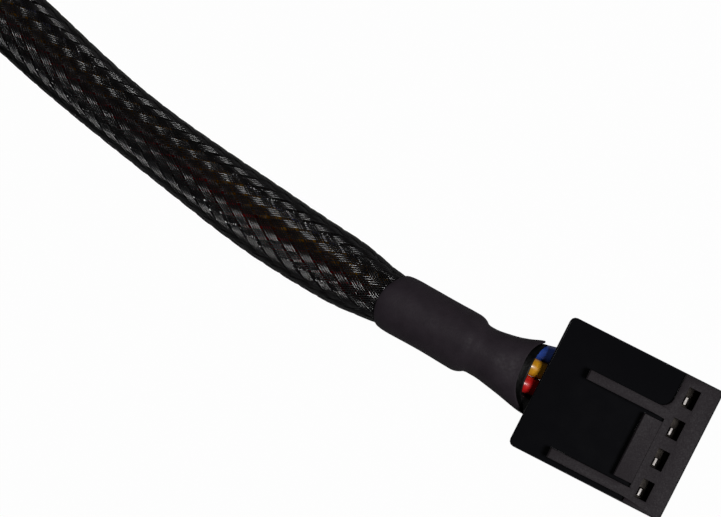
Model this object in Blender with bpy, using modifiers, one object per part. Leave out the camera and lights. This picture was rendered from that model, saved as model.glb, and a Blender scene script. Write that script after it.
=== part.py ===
"""Fan splitter cable: one female 4-pin plug, a braided trunk, a fork, and two sleeved branches that end
in male 4-pin housings. The first branch has four wires and the second three, without the speed wire.
Metres, +Z up. The plug lies on its plain back with its ribs up. +X is the way it is pushed onto a header,
and the cable leaves it towards -X and is wound into one loose coil."""

import math

import bmesh
import bpy
import numpy as np
from mathutils import Matrix, Vector

# Wires, sleeves and heat shrink
WIRE_DIAMETER = 0.00134
WIRE_PITCH = 0.0014
PACK_CLEARANCE = 0.00012
SLEEVE_WALL = 0.0002
SHRINK_WALL = 0.0002
SHRINK_CLEARANCE = 0.00013
SLEEVE_CLEARANCE = 0.0003
TRUNK_SWELL = 0.00070
BRANCH_SWELL = 0.00020
BRANCH_SPACING = 0.0047

# Female plug housing
PIN_PITCH = 0.00254
PLUG_LENGTH = 0.01265
PLUG_WIDTH = 0.01083
PLUG_HEIGHT = 0.0046
PLUG_CORNER = 0.00045
EDGE_ROUNDING = 0.00012
FILLET_STEPS = 4
FRONT_ZONE_LENGTH = 0.00308
FRONT_ZONE_STEP = 0.00030
FRONT_ZONE_FILLET = 0.0009
RIB_HEIGHT = 0.0012
RIB_LENGTH = 0.0064
RIB_WIDTH = 0.00078
RIB_LEAD_IN = 0.0013
INNER_RIB_Y = 0.00202
OUTER_RIB_Y = -0.00452
RAMP_HEIGHT = 0.00085
RAMP_LENGTH = 0.00155
RAMP_SIDE_GAP = 0.00030
WINDOW_LENGTH = 0.00092
WINDOW_WIDTH = 0.00153
WINDOW_SETBACK = 0.00153

# Rear well, terminal cavities and pin holes, alike in all three housings
CAVITY_WIDTH = 0.0021
CAVITY_HEIGHT = 0.0023
CAVITY_CENTRE = 0.0023
WELL_DEPTH = 0.0039
WELL_WALL = 0.0007
WELL_HEIGHT = 0.0030
PLUG_FRONT_WALL = 0.0011
PLUG_HOLE = 0.0012
HOLE_CHAMFER = 0.0002

# Crimp terminals
TERMINAL_CLEARANCE = 0.0001
TERMINAL_SHEET = 0.0002
BARREL_LENGTH = 0.0026
BARREL_CLEARANCE = 0.00006
BARREL_OPENING = 0.42
BARREL_SIDES = 10
CONTACT_LENGTH = 0.0043
TANG_WIDTH = 0.0006
TANG_SIDE = 0.0003
TANG_RISE = 0.0013
TANG_LENGTH = 0.0007
PIN_SIZE = 0.00064
PIN_TIP = 0.0005

# Male housings
SOCKET_BLOCK_LENGTH = 0.0099
SOCKET_SHROUD_LENGTH = 0.0070
SOCKET_SHELF = 0.0010
SOCKET_TONGUE = 0.0009
SOCKET_TONGUE_LENGTH = 0.0062
SOCKET_TONGUE_SIDE_GAP = 0.00015
SOCKET_CLEARANCE = 0.0001
SOCKET_FRONT_WALL = 0.0013
SOCKET_BUMP = 0.00035
SOCKET_BUMP_LENGTH = 0.0011
PIN_REACH = 0.0061

# Splices and the tie
SPLICE_DIAMETER = 0.0019
SPLICE_LENGTH = 0.0040
SPLICE_GAP = 0.0001
TIE_WIDTH = 0.0045
TIE_THICKNESS = 0.0005
TIE_CLEARANCE = 0.0002
TIE_SLACK = 0.0008
TIE_OVERLAP = 0.0080

# Heat shrink: how far it reaches back from a housing, and over the sleeves in the fork
SHRINK_LENGTH = 0.0129
SLEEVE_SETBACK = 0.0057
FORK_LENGTH = 0.0280
FORK_GRIP = 0.0050
MOUTH_DIP = 0.00115
MOUTH_SKEW = 0.00040
MOUTH_SETBACK = 0.00050
RING_POINTS = 16

# The trunk's route, chosen by hand: x, y, z and how far the braid swells there, from none to full
TRUNK_POINTS = [
    (0.0030, 0.0000, 0.00230, 0.0),
    (-0.0010, 0.0000, 0.00230, 0.0),
    (-0.0040, 0.0000, 0.00230, 0.0),
    (-0.0070, -0.0001, 0.00232, 0.0),
    (-0.0113, -0.0001, 0.00240, 0.0),
    (-0.0155, 0.0001, 0.00250, 0.0),
    (-0.0180, 0.0002, 0.00258, 0.0),
    (-0.0204, 0.0003, 0.00266, 0.34),
    (-0.0228, 0.0005, 0.00276, 0.86),
    (-0.0253, 0.0007, 0.00282, 1.02),
    (-0.0301, 0.0012, 0.00286, 1.12),
    (-0.0349, 0.0019, 0.00286, 0.98),
    (-0.0397, 0.0027, 0.00280, 0.75),
    (-0.0449, 0.0037, 0.00278, 0.70),
    (-0.0497, 0.00485, 0.00281, 0.86),
    (-0.0544, 0.00614, 0.00290, 0.98),
    (-0.0600, 0.00773, 0.00309, 1.0),
    (-0.0660, 0.00941, 0.00339, 1.0),
    (-0.0720, 0.01110, 0.00359, 1.0),
]

# The coil: where the trunk runs onto it, its size, and how the two branches draw in
COIL_START = (-0.0775, 0.01265)
COIL_HEADING = math.radians(164.3)
COIL_RADIUS = 0.0310
COIL_POINT_ANGLE = math.radians(12)
TRUNK_COIL_ANGLE = math.radians(150)
FORK_COIL_ANGLE = math.radians(54)
BRANCH_RADIUS_AT_TRUNK = 0.0234
INNER_TURN_RADIUS = 0.014
COIL_HEIGHT = 0.0028
BRANCH_HEIGHT = 0.00245
TIE_LIFT = 0.0008
TIE_ANGLE = math.radians(-8)
TIE_LIFT_LENGTH = 0.014

# How the branches end inside the coil: they draw apart as they turn, then run straight and side by side
# to their housings, one further on than the other
SOCKET_SPREAD = 0.0057
LAST_STRAIGHT = {"a": 0.0055, "b": 0.0115}
SOCKET_HEADING_TURN = math.radians(125)
RISE_LENGTH = 0.0100
ROUTE_INTO_HOUSING = 0.0070

COIL_STEP = 0.0075
TURN_STEP = 0.0045
GRIP_STEP = 0.0036
SWELL_STEP = 0.0025
SWELL_LENGTH = 0.0100
ROUTE_STEP = 0.0002

WIRE_RADIUS = WIRE_DIAMETER / 2
PACK_RADIUS = WIRE_PITCH / math.sqrt(2) + WIRE_RADIUS
SLEEVE_END_RADIUS = (PACK_RADIUS + PACK_CLEARANCE) / math.cos(math.pi / 12) + SLEEVE_WALL
SHRINK_INNER_RADIUS = SLEEVE_END_RADIUS + SHRINK_CLEARANCE
NECK_INNER_RADIUS = PACK_RADIUS + PACK_CLEARANCE
RIB_TOP = PLUG_HEIGHT + RIB_HEIGHT
FRONT_ZONE_TOP = PLUG_HEIGHT + FRONT_ZONE_STEP
CAVITY_END = PLUG_LENGTH - PLUG_FRONT_WALL
TONGUE_UNDERSIDE = SOCKET_SHELF + SOCKET_CLEARANCE + FRONT_ZONE_TOP + SOCKET_CLEARANCE
SOCKET_HEIGHT = TONGUE_UNDERSIDE + SOCKET_TONGUE
SOCKET_CAVITY_CENTRE = SOCKET_SHELF + SOCKET_CLEARANCE + CAVITY_CENTRE

# Where each wire lies in the row at a housing, in pitches from the middle
COLOURS = {"black": -1.5, "red": -0.5, "yellow": 0.5, "blue": 1.5}

# The row of wires closes up into a bundle of four: distance from the rear face, then the places of an
# outer and an inner wire, in wire pitches across and up
FAN = [
    (0.0009, 1.37, 0.11, 0.50, 0.36),
    (0.0019, 1.11, 0.29, 0.50, 0.49),
    (0.0032, 0.79, 0.46, 0.50, 0.50),
    (0.0050, 0.50, 0.50, 0.50, 0.50),
]


def clear_scene():
    for thing in list(bpy.data.objects):
        bpy.data.objects.remove(thing, do_unlink=True)
    for old in list(bpy.data.collections):
        bpy.data.collections.remove(old)


def new_collection(name):
    made = bpy.data.collections.new(name)
    bpy.context.scene.collection.children.link(made)
    return made


def new_material(name, colour, roughness, metallic=0.0):
    made = bpy.data.materials.new(name)
    made.use_nodes = True
    shader = made.node_tree.nodes["Principled BSDF"]
    shader.inputs["Base Color"].default_value = (*colour, 1.0)
    shader.inputs["Roughness"].default_value = roughness
    shader.inputs["Metallic"].default_value = metallic
    return made


clear_scene()
PARTS = new_collection("fan_splitter_cable")
HELPERS = new_collection("helpers")

HOUSING_PLASTIC = new_material("housing_plastic", (0.012, 0.011, 0.013), 0.45)
SHRINK_RUBBER = new_material("heat_shrink", (0.020, 0.018, 0.020), 0.75)
BRAID = new_material("braid", (0.012, 0.012, 0.013), 0.35)
TIN = new_material("tinned_metal", (0.72, 0.70, 0.66), 0.28, 1.0)
TIE_PLASTIC = new_material("tie_plastic", (0.02, 0.02, 0.02), 0.5)
WIRE_MATERIALS = {
    "black": new_material("wire_black", (0.015, 0.015, 0.016), 0.35),
    "red": new_material("wire_red", (0.55, 0.015, 0.015), 0.35),
    "yellow": new_material("wire_yellow", (0.72, 0.38, 0.02), 0.35),
    "blue": new_material("wire_blue", (0.05, 0.12, 0.50), 0.35),
}


# Modelling helpers


def link(name, mesh, material, smooth_angle=35):
    """A new object of this mesh among the parts, shaded smooth up to an angle."""
    made = bpy.data.objects.new(name, mesh)
    PARTS.objects.link(made)
    mesh.materials.clear()
    mesh.materials.append(material)
    mesh.shade_smooth()
    mesh.set_sharp_from_angle(angle=math.radians(smooth_angle))
    return made


def as_helper(thing):
    """Moves an object to the helpers: it shapes others and isn't a piece itself."""
    for holder in list(thing.users_collection):
        holder.objects.unlink(thing)
    HELPERS.objects.link(thing)
    thing.hide_render = True
    thing.display_type = "WIRE"
    return thing


def block_mesh(name, low, high):
    """A box between two corners."""
    low, high = Vector(low), Vector(high)
    mesh = bpy.data.meshes.new(name)
    shape = bmesh.new()
    place = Matrix.Translation((low + high) / 2) @ Matrix.Diagonal((*(high - low), 1.0))
    bmesh.ops.create_cube(shape, size=1.0, matrix=place)
    shape.to_mesh(mesh)
    shape.free()
    return mesh


def rounded_block(name, low, high, material, corner=0.0):
    """A box with all edges eased, and its two upright rear edges rounded more."""
    mesh = block_mesh(name, low, high)
    shape = bmesh.new()
    shape.from_mesh(mesh)
    if corner > 0:
        rear = [
            edge
            for edge in shape.edges
            if all(abs(corner_.co.x - low[0]) < 1e-6 for corner_ in edge.verts)
            and abs(edge.verts[0].co.y - edge.verts[1].co.y) < 1e-6
        ]
        bmesh.ops.bevel(shape, geom=rear, offset=corner, segments=3, profile=0.5, affect="EDGES")
    sharp = [edge for edge in shape.edges if edge.calc_face_angle(0.0) > math.radians(40)]
    bmesh.ops.bevel(
        shape, geom=sharp, offset=EDGE_ROUNDING, segments=1, profile=0.5, affect="EDGES"
    )
    shape.to_mesh(mesh)
    shape.free()
    return link(name, mesh, material)


def flat_outline(name, points, thickness, place):
    """A flat outline in its own XY plane, thickened to both sides and put in place, as a closed mesh."""
    curve = bpy.data.curves.new(name, "CURVE")
    curve.dimensions = "2D"
    curve.fill_mode = "BOTH"
    curve.extrude = thickness / 2
    spline = curve.splines.new("POLY")
    spline.points.add(len(points) - 1)
    for point, (x, y) in zip(spline.points, points):
        point.co = (x, y, 0.0, 1.0)
    spline.use_cyclic_u = True
    guide = bpy.data.objects.new(name + "_guide", curve)
    PARTS.objects.link(guide)
    bpy.context.view_layer.update()
    graph = bpy.context.evaluated_depsgraph_get()
    mesh = bpy.data.meshes.new_from_object(guide.evaluated_get(graph))
    bpy.data.objects.remove(guide, do_unlink=True)
    shape = bmesh.new()
    shape.from_mesh(mesh)
    bmesh.ops.remove_doubles(shape, verts=shape.verts, dist=1e-6)
    bmesh.ops.transform(shape, matrix=place, verts=shape.verts)
    bmesh.ops.recalc_face_normals(shape, faces=shape.faces)
    shape.to_mesh(mesh)
    shape.free()
    return mesh


def side_profile(name, points, y_low, y_high):
    """An outline drawn in x and z, spanning from one y to another."""
    # Turned up about X, the outline's own thickness lies along y
    stand = Matrix.Rotation(math.pi / 2, 4, "X")
    place = Matrix.Translation((0.0, (y_low + y_high) / 2, 0.0)) @ stand
    return flat_outline(name, points, y_high - y_low, place)


def combine(target, helper_mesh, operation):
    """Joins a shape to an object or cuts it away, with a Boolean that stays on the object."""
    helper = as_helper(link(helper_mesh.name, helper_mesh, HOUSING_PLASTIC))
    modifier = target.modifiers.new(helper.name, "BOOLEAN")
    modifier.object = helper
    modifier.operation = operation
    modifier.solver = "EXACT"


def add(target, helper_mesh):
    combine(target, helper_mesh, "UNION")


def cut(target, helper_mesh):
    combine(target, helper_mesh, "DIFFERENCE")


def settle(thing, place):
    """Puts a piece made in its connector's own frame, with what shapes it, where the connector lies."""
    thing.matrix_world = place
    for modifier in thing.modifiers:
        modifier.object.matrix_world = place
    return thing


def tube(name, points, radii, material, resolution=2, wall=0.0):
    """A round wire through the points or, with a wall, a tube with open ends."""
    curve = bpy.data.curves.new(name, "CURVE")
    curve.dimensions = "3D"
    curve.twist_mode = "Z_UP"
    curve.bevel_depth = radii[0]
    curve.bevel_resolution = resolution
    curve.use_fill_caps = wall == 0.0
    spline = curve.splines.new("POLY")
    spline.points.add(len(points) - 1)
    for point, place, radius in zip(spline.points, points, radii):
        point.co = (*place, 1.0)
        point.radius = radius / radii[0]
    spline.use_smooth = True
    curve.materials.append(material)
    made = bpy.data.objects.new(name, curve)
    PARTS.objects.link(made)
    if wall == 0.0:
        return made
    bpy.context.view_layer.update()
    graph = bpy.context.evaluated_depsgraph_get()
    mesh = bpy.data.meshes.new_from_object(made.evaluated_get(graph))
    bpy.data.objects.remove(made, do_unlink=True)
    return give_wall(link(name, mesh, material), wall)


def give_wall(thing, wall):
    """Thickens an open surface inwards."""
    modifier = thing.modifiers.new("wall", "SOLIDIFY")
    modifier.thickness = wall
    modifier.offset = -1.0
    modifier.use_even_offset = True
    modifier.use_rim = True
    return thing


def lofted_tube(name, rings, material, wall):
    """A tube through rings of unlike outline, which have equal numbers of points."""
    mesh = bpy.data.meshes.new(name)
    shape = bmesh.new()
    made = [[shape.verts.new(point) for point in ring] for ring in rings]
    count = len(rings[0])
    for before, after in zip(made, made[1:]):
        for i in range(count):
            j = (i + 1) % count
            shape.faces.new((before[i], before[j], after[j], after[i]))
    bmesh.ops.recalc_face_normals(shape, faces=shape.faces)
    first = shape.faces[0]
    middle = sum((vert.co for vert in made[0]), Vector()) / count
    if first.normal.dot(first.calc_center_median() - middle) < 0:
        bmesh.ops.reverse_faces(shape, faces=shape.faces)
    shape.to_mesh(mesh)
    shape.free()
    return give_wall(link(name, mesh, material, 50), wall)


# Routes


class Route:
    """A smooth curve through chosen points, read by the distance along it."""

    def __init__(self, points):
        knots = np.array(points, dtype=float)
        gaps = np.linalg.norm(np.diff(knots[:, :3], axis=0), axis=1)
        at = np.concatenate([[0.0], np.cumsum(gaps)])
        bends = self.second_derivatives(at, knots)
        fine = np.arange(0.0, at[-1] + ROUTE_STEP / 2, ROUTE_STEP)
        fine[-1] = min(fine[-1], at[-1])
        piece = np.clip(np.searchsorted(at, fine, side="right") - 1, 0, len(gaps) - 1)
        span = gaps[piece][:, None]
        right = ((fine - at[piece])[:, None]) / span
        left = 1.0 - right
        self.values = left * knots[piece] + right * knots[piece + 1]
        self.values += span**2 / 6 * (
            (left**3 - left) * bends[piece] + (right**3 - right) * bends[piece + 1]
        )
        steps = np.linalg.norm(np.diff(self.values[:, :3], axis=0), axis=1)
        self.distance = np.concatenate([[0.0], np.cumsum(steps)])
        self.length = self.distance[-1]

    @staticmethod
    def second_derivatives(at, knots):
        """Those of the natural cubic spline through the knots."""
        count = len(at)
        matrix = np.eye(count)
        wanted = np.zeros_like(knots)
        for i in range(1, count - 1):
            before, after = at[i] - at[i - 1], at[i + 1] - at[i]
            matrix[i, i - 1 : i + 2] = before / 6, (before + after) / 3, after / 6
            wanted[i] = (knots[i + 1] - knots[i]) / after - (knots[i] - knots[i - 1]) / before
        return np.linalg.solve(matrix, wanted)

    def read(self, distance):
        """The point there, with any further values that the knots hold."""
        return [
            float(np.interp(distance, self.distance, self.values[:, i]))
            for i in range(self.values.shape[1])
        ]

    def frame(self, distance):
        """The point there, with the ways along, across (to the right of travel) and up."""
        here = Vector(self.read(distance)[:3])
        ahead = Vector(self.read(min(distance + ROUTE_STEP, self.length))[:3])
        behind = Vector(self.read(max(distance - ROUTE_STEP, 0.0))[:3])
        along = (ahead - behind).normalized()
        across = along.cross(Vector((0, 0, 1))).normalized()
        return here, along, across, across.cross(along)

    def point(self, distance, across_by=0.0, up_by=0.0):
        here, _, across, up = self.frame(distance)
        return here + across * across_by + up * up_by


def spaced(start, end, step):
    """Distances from start to end, evenly spaced and no further apart than step."""
    count = max(1, math.ceil((end - start) / step - 1e-6))
    return [start + (end - start) * i / count for i in range(count + 1)]


def eased(share):
    """From 0 to 1 with a soft start and end."""
    share = min(max(share, 0.0), 1.0)
    return share * share * (3 - 2 * share)


# The coil's layout

COIL_INWARD = Vector((-math.sin(COIL_HEADING), math.cos(COIL_HEADING)))
COIL_CENTRE = Vector(COIL_START) + COIL_RADIUS * COIL_INWARD
# Angles are measured round the coil's centre, from the point where the trunk runs onto it
COIL_AHEAD = Vector((math.cos(COIL_HEADING), math.sin(COIL_HEADING)))


def coil_point(angle, radius, centre=COIL_CENTRE):
    return centre - COIL_INWARD * (radius * math.cos(angle)) + COIL_AHEAD * (radius * math.sin(angle))


def coil_radius(angle):
    """Of the middle line of the fork and the two branches, which draw in to pass inside the trunk."""
    share = (angle - TRUNK_COIL_ANGLE) / (2 * math.pi - TRUNK_COIL_ANGLE)
    return COIL_RADIUS + (BRANCH_RADIUS_AT_TRUNK - COIL_RADIUS) * eased(share)


def tie_lift(angle):
    """How far the cable rises, at an angle round the coil, to let the tie pass under it."""
    away = (angle - TIE_ANGLE) * COIL_RADIUS / TIE_LIFT_LENGTH
    return TIE_LIFT * math.exp(-away * away)


def distance_at_angle(route, angle):
    """How far along a route it lies at an angle round the coil's centre."""
    best = None
    for distance, row in zip(route.distance, route.values):
        from_centre = Vector(row[:2]) - COIL_CENTRE
        here = math.atan2(from_centre.dot(COIL_AHEAD), -from_centre.dot(COIL_INWARD))
        miss = abs(here - angle)
        if best is None or miss < best[0]:
            best = (miss, float(distance))
    return best[1]


def branch_height(behind):
    """Of a branch's middle, which rises to the height of the wires in its housing behind it."""
    return SOCKET_CAVITY_CENTRE + (BRANCH_HEIGHT - SOCKET_CAVITY_CENTRE) * eased(behind / RISE_LENGTH)


def trunk_route():
    """From the plug's middle to the end of the fork."""
    points = list(TRUNK_POINTS)
    end = TRUNK_COIL_ANGLE + FORK_COIL_ANGLE
    for angle in spaced(0.0, end, COIL_POINT_ANGLE):
        x, y = coil_point(angle, coil_radius(max(angle, TRUNK_COIL_ANGLE)))
        points.append((x, y, COIL_HEIGHT + tie_lift(angle), 1.0))
    # The sleeve closes up towards the fork, and the fork is level with the branches
    return Route(points)


def branch_route(side):
    """From the fork's end to the rear face of the branch's housing. The side is +1 outside, -1 inside."""
    start = TRUNK_COIL_ANGLE + FORK_COIL_ANGLE
    offset = side * BRANCH_SPACING / 2
    full = 2 * math.pi
    points = []
    for angle in spaced(start, full, COIL_POINT_ANGLE):
        x, y = coil_point(angle, coil_radius(angle) + offset)
        height = COIL_HEIGHT + (BRANCH_HEIGHT - COIL_HEIGHT) * eased((angle - start) / 0.8)
        points.append((x, y, height + tie_lift(angle - full)))
    turn_centre = COIL_CENTRE - COIL_INWARD * (BRANCH_RADIUS_AT_TRUNK - INNER_TURN_RADIUS)
    last = SOCKET_HEADING_TURN
    straight = LAST_STRAIGHT["a" if side > 0 else "b"]
    for angle in spaced(0.0, last, COIL_POINT_ANGLE * 1.4)[1:]:
        apart = offset + (side * SOCKET_SPREAD - offset) * eased(angle / last)
        x, y = coil_point(angle, INNER_TURN_RADIUS + apart, turn_centre)
        behind = straight + (last - angle) * INNER_TURN_RADIUS
        points.append((x, y, branch_height(behind) + tie_lift(angle)))
    heading = COIL_HEADING + last
    ahead = Vector((math.cos(heading), math.sin(heading)))
    rear = Vector(points[-1][:2]) + ahead * straight
    for behind in reversed(spaced(0.0, straight, GRIP_STEP)[:-1]):
        x, y = rear - ahead * behind
        points.append((x, y, branch_height(behind)))
    x, y = rear + ahead * ROUTE_INTO_HOUSING
    points.append((x, y, SOCKET_CAVITY_CENTRE))
    return Route(points), heading


TRUNK = trunk_route()
BRANCHES = {"a": branch_route(1), "b": branch_route(-1)}


# Wires

# Which corner of the bundle of four each wire takes behind a housing: across and up
BUNDLE = {
    "trunk": {"black": (-1, -1), "red": (-1, 1), "yellow": (1, 1), "blue": (1, -1)},
    "a": {"black": (-1, -1), "red": (-1, 1), "yellow": (1, -1), "blue": (1, 1)},
    "b": {"black": (-1, 1), "red": (-1, -1), "blue": (1, -1)},
}


def fan_place(cord, colour, behind):
    """A wire's place across and up, at a distance behind the housing's rear face."""
    pin = COLOURS[colour]
    side, level = BUNDLE[cord][colour]
    if behind < 0:
        share = eased((behind + WELL_DEPTH) / WELL_DEPTH)
        return pin * (PIN_PITCH + (WIRE_PITCH - PIN_PITCH) * share), 0.0
    outer = abs(pin) > 1
    rows = [(0.0, abs(pin), 0.0)]
    for distance, outer_across, outer_up, inner_across, inner_up in FAN:
        place = (outer_across, outer_up) if outer else (inner_across, inner_up)
        rows.append((distance, *place))
    distances = [row[0] for row in rows]
    across = np.interp(behind, distances, [row[1] for row in rows])
    up = np.interp(behind, distances, [row[2] for row in rows])
    return side * WIRE_PITCH * float(across), level * WIRE_PITCH * float(up)


def wire(name, colour, points):
    radii = [WIRE_RADIUS] * len(points)
    return tube(name, points, radii, WIRE_MATERIALS[colour])


TRUNK_REAR = TRUNK_POINTS[0][0] + PLUG_LENGTH / 2
TRUNK_SLEEVE_START = TRUNK_REAR + SLEEVE_SETBACK
FORK_START = TRUNK.length - FORK_LENGTH
TRUNK_SLEEVE_END = FORK_START + FORK_GRIP
FAN_END = FAN[-1][0]


def fan_distances(deepest):
    """Distances behind a rear face at which a wire bends: from its end in the barrel to the bundle."""
    inside = spaced(-WELL_DEPTH, 0.0, WELL_DEPTH / 3)
    return [deepest, *inside, *(row[0] for row in FAN)]


def trunk_wire_points(colour, fork_places):
    """From the crimp barrel in the plug, through the trunk, to the places in the fork."""
    points = []
    for behind in fan_distances(-PLUG_WIRE_DEPTH):
        points.append(TRUNK.point(TRUNK_REAR + behind, *fan_place("trunk", colour, behind)))
    across, up = (step * WIRE_PITCH / 2 for step in BUNDLE["trunk"][colour])
    for distance in trunk_stations():
        if distance > TRUNK_REAR + FAN_END:
            points.append(TRUNK.point(distance, across, up))
    return points + [TRUNK.point(FORK_START + at, *place) for at, *place in fork_places]


def grip_stations():
    """Distances behind a housing at which its heat shrink and what is in it share their points."""
    return spaced(SLEEVE_SETBACK, SHRINK_LENGTH, GRIP_STEP)


def trunk_stations():
    """Distances at which the trunk's sleeve and wires have their points."""
    gripped = [TRUNK_REAR + behind for behind in grip_stations()]
    swelling = spaced(gripped[-1], gripped[-1] + SWELL_LENGTH, SWELL_STEP)[1:]
    free = spaced(swelling[-1], FORK_START, COIL_STEP)[1:]
    return gripped + swelling + free + [TRUNK_SLEEVE_END]


def branch_place(branch, along, across, up):
    """A point in a branch, by its distance past the fork's end. Before it, the branch is in the fork."""
    side = 1 if branch == "a" else -1
    if along < 0:
        return TRUNK.point(TRUNK.length + along, across + side * BRANCH_SPACING / 2, up)
    return BRANCHES[branch][0].point(along, across, up)


def branch_length(branch):
    """From the fork's end to the housing's rear face."""
    return BRANCHES[branch][0].length - ROUTE_INTO_HOUSING


def branch_stations(branch):
    turn_start = distance_at_angle(BRANCHES[branch][0], 0.0)
    gripped = [branch_length(branch) - behind for behind in reversed(grip_stations())]
    coiled = spaced(0.0, turn_start, COIL_STEP)
    turning = spaced(turn_start, gripped[0] - GRIP_STEP, TURN_STEP)[1:]
    return [-FORK_GRIP] + coiled + turning + gripped


def bundle_turn(branch, along):
    """The second branch's bundle turns half round on its way, so that its wires meet their pins."""
    if branch == "a":
        return 0.0
    return math.pi * (1 - eased((along - 0.005) / (branch_length(branch) - 0.020)))


def branch_wire_points(branch, colour, fork_places):
    """From the places in the fork, through the branch, to the crimp barrel in the housing."""
    points = [TRUNK.point(FORK_START + at, *place) for at, *place in fork_places]
    across, up = (step * WIRE_PITCH / 2 for step in BUNDLE[branch][colour])
    length = branch_length(branch)
    for along in branch_stations(branch):
        if along > length - FAN_END:
            continue
        turn = bundle_turn(branch, along)
        turned = (
            across * math.cos(turn) - up * math.sin(turn),
            across * math.sin(turn) + up * math.cos(turn),
        )
        points.append(branch_place(branch, along, *turned))
    for behind in reversed(fan_distances(-SOCKET_WIRE_DEPTH)):
        place = fan_place(branch, colour, behind)
        points.append(branch_place(branch, length - behind, *place))
    return points


# The fork's inside: distance from its start, then each wire's place across and up

SPLICE_RADIUS = SPLICE_DIAMETER / 2
HALF_PITCH = WIRE_PITCH / 2
BESIDE_SPLICE = SPLICE_RADIUS + WIRE_PITCH - WIRE_RADIUS
SPLICE_LEVEL = SPLICE_RADIUS + SPLICE_GAP
FIRST_SPLICE = FORK_GRIP + 0.0032
FIRST_END = FIRST_SPLICE + SPLICE_LENGTH
SECOND_SPLICE = FIRST_END + 0.0022
SECOND_END = SECOND_SPLICE + SPLICE_LENGTH
BRANCH_ENTRY = FORK_LENGTH - FORK_GRIP
PAST_SPLICE = BESIDE_SPLICE + 0.00022
WIRE_STUB = 0.0005

TRUNK_FORK_PLACES = {
    "blue": [
        (FORK_GRIP + 0.0013, 0.00055, -0.00035),
        (FIRST_SPLICE - WIRE_STUB, 0.0, 0.0),
        (FIRST_SPLICE - SPLICE_GAP, 0.0, 0.0),
    ],
    "red": [
        (FORK_GRIP + 0.0013, -0.00055, 0.00115),
        (FIRST_SPLICE - 0.0002, -0.0002, BESIDE_SPLICE),
        (FIRST_END + 0.0002, 0.0, BESIDE_SPLICE),
        (SECOND_SPLICE - WIRE_STUB, 0.0, SPLICE_LEVEL),
        (SECOND_SPLICE - SPLICE_GAP, 0.0, SPLICE_LEVEL),
    ],
    "black": [
        (FORK_GRIP + 0.0013, -0.00062, -0.00120),
        (FIRST_SPLICE - 0.0002, -0.0002, -BESIDE_SPLICE),
        (FIRST_END + 0.0002, 0.0, -BESIDE_SPLICE),
        (SECOND_SPLICE - WIRE_STUB, 0.0, -SPLICE_LEVEL),
        (SECOND_SPLICE - SPLICE_GAP, 0.0, -SPLICE_LEVEL),
    ],
}
YELLOW_FORK_PLACES = [
    (FORK_GRIP + 0.0013, 0.00125, 0.00092),
    (FIRST_SPLICE - 0.0002, BESIDE_SPLICE + 0.00010, 0.00050),
    (FIRST_END + 0.0002, BESIDE_SPLICE + 0.00055, 0.00060),
    (SECOND_SPLICE - 0.0004, PAST_SPLICE + 0.00158, 0.00010),
    (SECOND_END + 0.0002, PAST_SPLICE + 0.00158, 0.00010),
    (SECOND_END + 0.0021, 0.00325, -0.00080),
]
BRANCH_FORK_PLACES = {
    "blue": [
        (FIRST_END + SPLICE_GAP, HALF_PITCH, 0.0),
        (FIRST_END + WIRE_STUB, HALF_PITCH, 0.0),
        (SECOND_SPLICE - 0.0004, PAST_SPLICE, 0.0),
        (SECOND_END + 0.0002, PAST_SPLICE, 0.0),
        (SECOND_END + 0.0021, 0.00230, 0.00045),
    ],
    "red": [
        (SECOND_END + SPLICE_GAP, HALF_PITCH, SPLICE_LEVEL),
        (SECOND_END + WIRE_STUB, HALF_PITCH, SPLICE_LEVEL),
        (SECOND_END + 0.0021, 0.00095, 0.00095),
    ],
    "black": [
        (SECOND_END + SPLICE_GAP, HALF_PITCH, -SPLICE_LEVEL),
        (SECOND_END + WIRE_STUB, HALF_PITCH, -SPLICE_LEVEL),
        (SECOND_END + 0.0021, 0.00120, -0.00085),
    ],
}


def make_wires():
    for colour, places in TRUNK_FORK_PLACES.items():
        wire("trunk_wire_" + colour, colour, trunk_wire_points(colour, places))
    # The speed wire isn't spliced: it runs from the plug to the first branch's housing
    speed = trunk_wire_points("yellow", YELLOW_FORK_PLACES)
    speed += branch_wire_points("a", "yellow", [])
    wire("speed_wire_yellow", "yellow", speed)
    for branch, side in (("a", 1), ("b", -1)):
        for colour, places in BRANCH_FORK_PLACES.items():
            places = [(at, side * across, up) for at, across, up in places]
            name = f"branch_{branch}_wire_{colour}"
            wire(name, colour, branch_wire_points(branch, colour, places))


def make_splices():
    for colour, start, up in (
        ("blue", FIRST_SPLICE, 0.0),
        ("red", SECOND_SPLICE, SPLICE_LEVEL),
        ("black", SECOND_SPLICE, -SPLICE_LEVEL),
    ):
        ends = [TRUNK.point(FORK_START + start + at, 0.0, up) for at in (0.0, SPLICE_LENGTH)]
        tube("splice_" + colour, ends, [SPLICE_RADIUS] * 2, TIN, resolution=4)


# Sleeves and heat shrink


def make_trunk_sleeve():
    stations = trunk_stations()
    points = [TRUNK.point(distance) for distance in stations]
    radii = []
    for distance in stations:
        swell = TRUNK.read(distance)[3] * eased((FORK_START - distance) / 0.006)
        radii.append(SLEEVE_END_RADIUS + TRUNK_SWELL * swell)
    return tube("trunk_sleeve", points, radii, BRAID, resolution=4, wall=SLEEVE_WALL)


def make_branch_sleeve(branch):
    stations = branch_stations(branch)
    last = branch_length(branch) - SHRINK_LENGTH
    points = [branch_place(branch, along, 0.0, 0.0) for along in stations]
    radii = []
    for along in stations:
        swell = eased(along / 0.008) * eased((last - along) / 0.005)
        radii.append(SLEEVE_END_RADIUS + BRANCH_SWELL * swell)
    name = f"branch_{branch}_sleeve"
    return tube(name, points, radii, BRAID, resolution=4, wall=SLEEVE_WALL)


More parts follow.
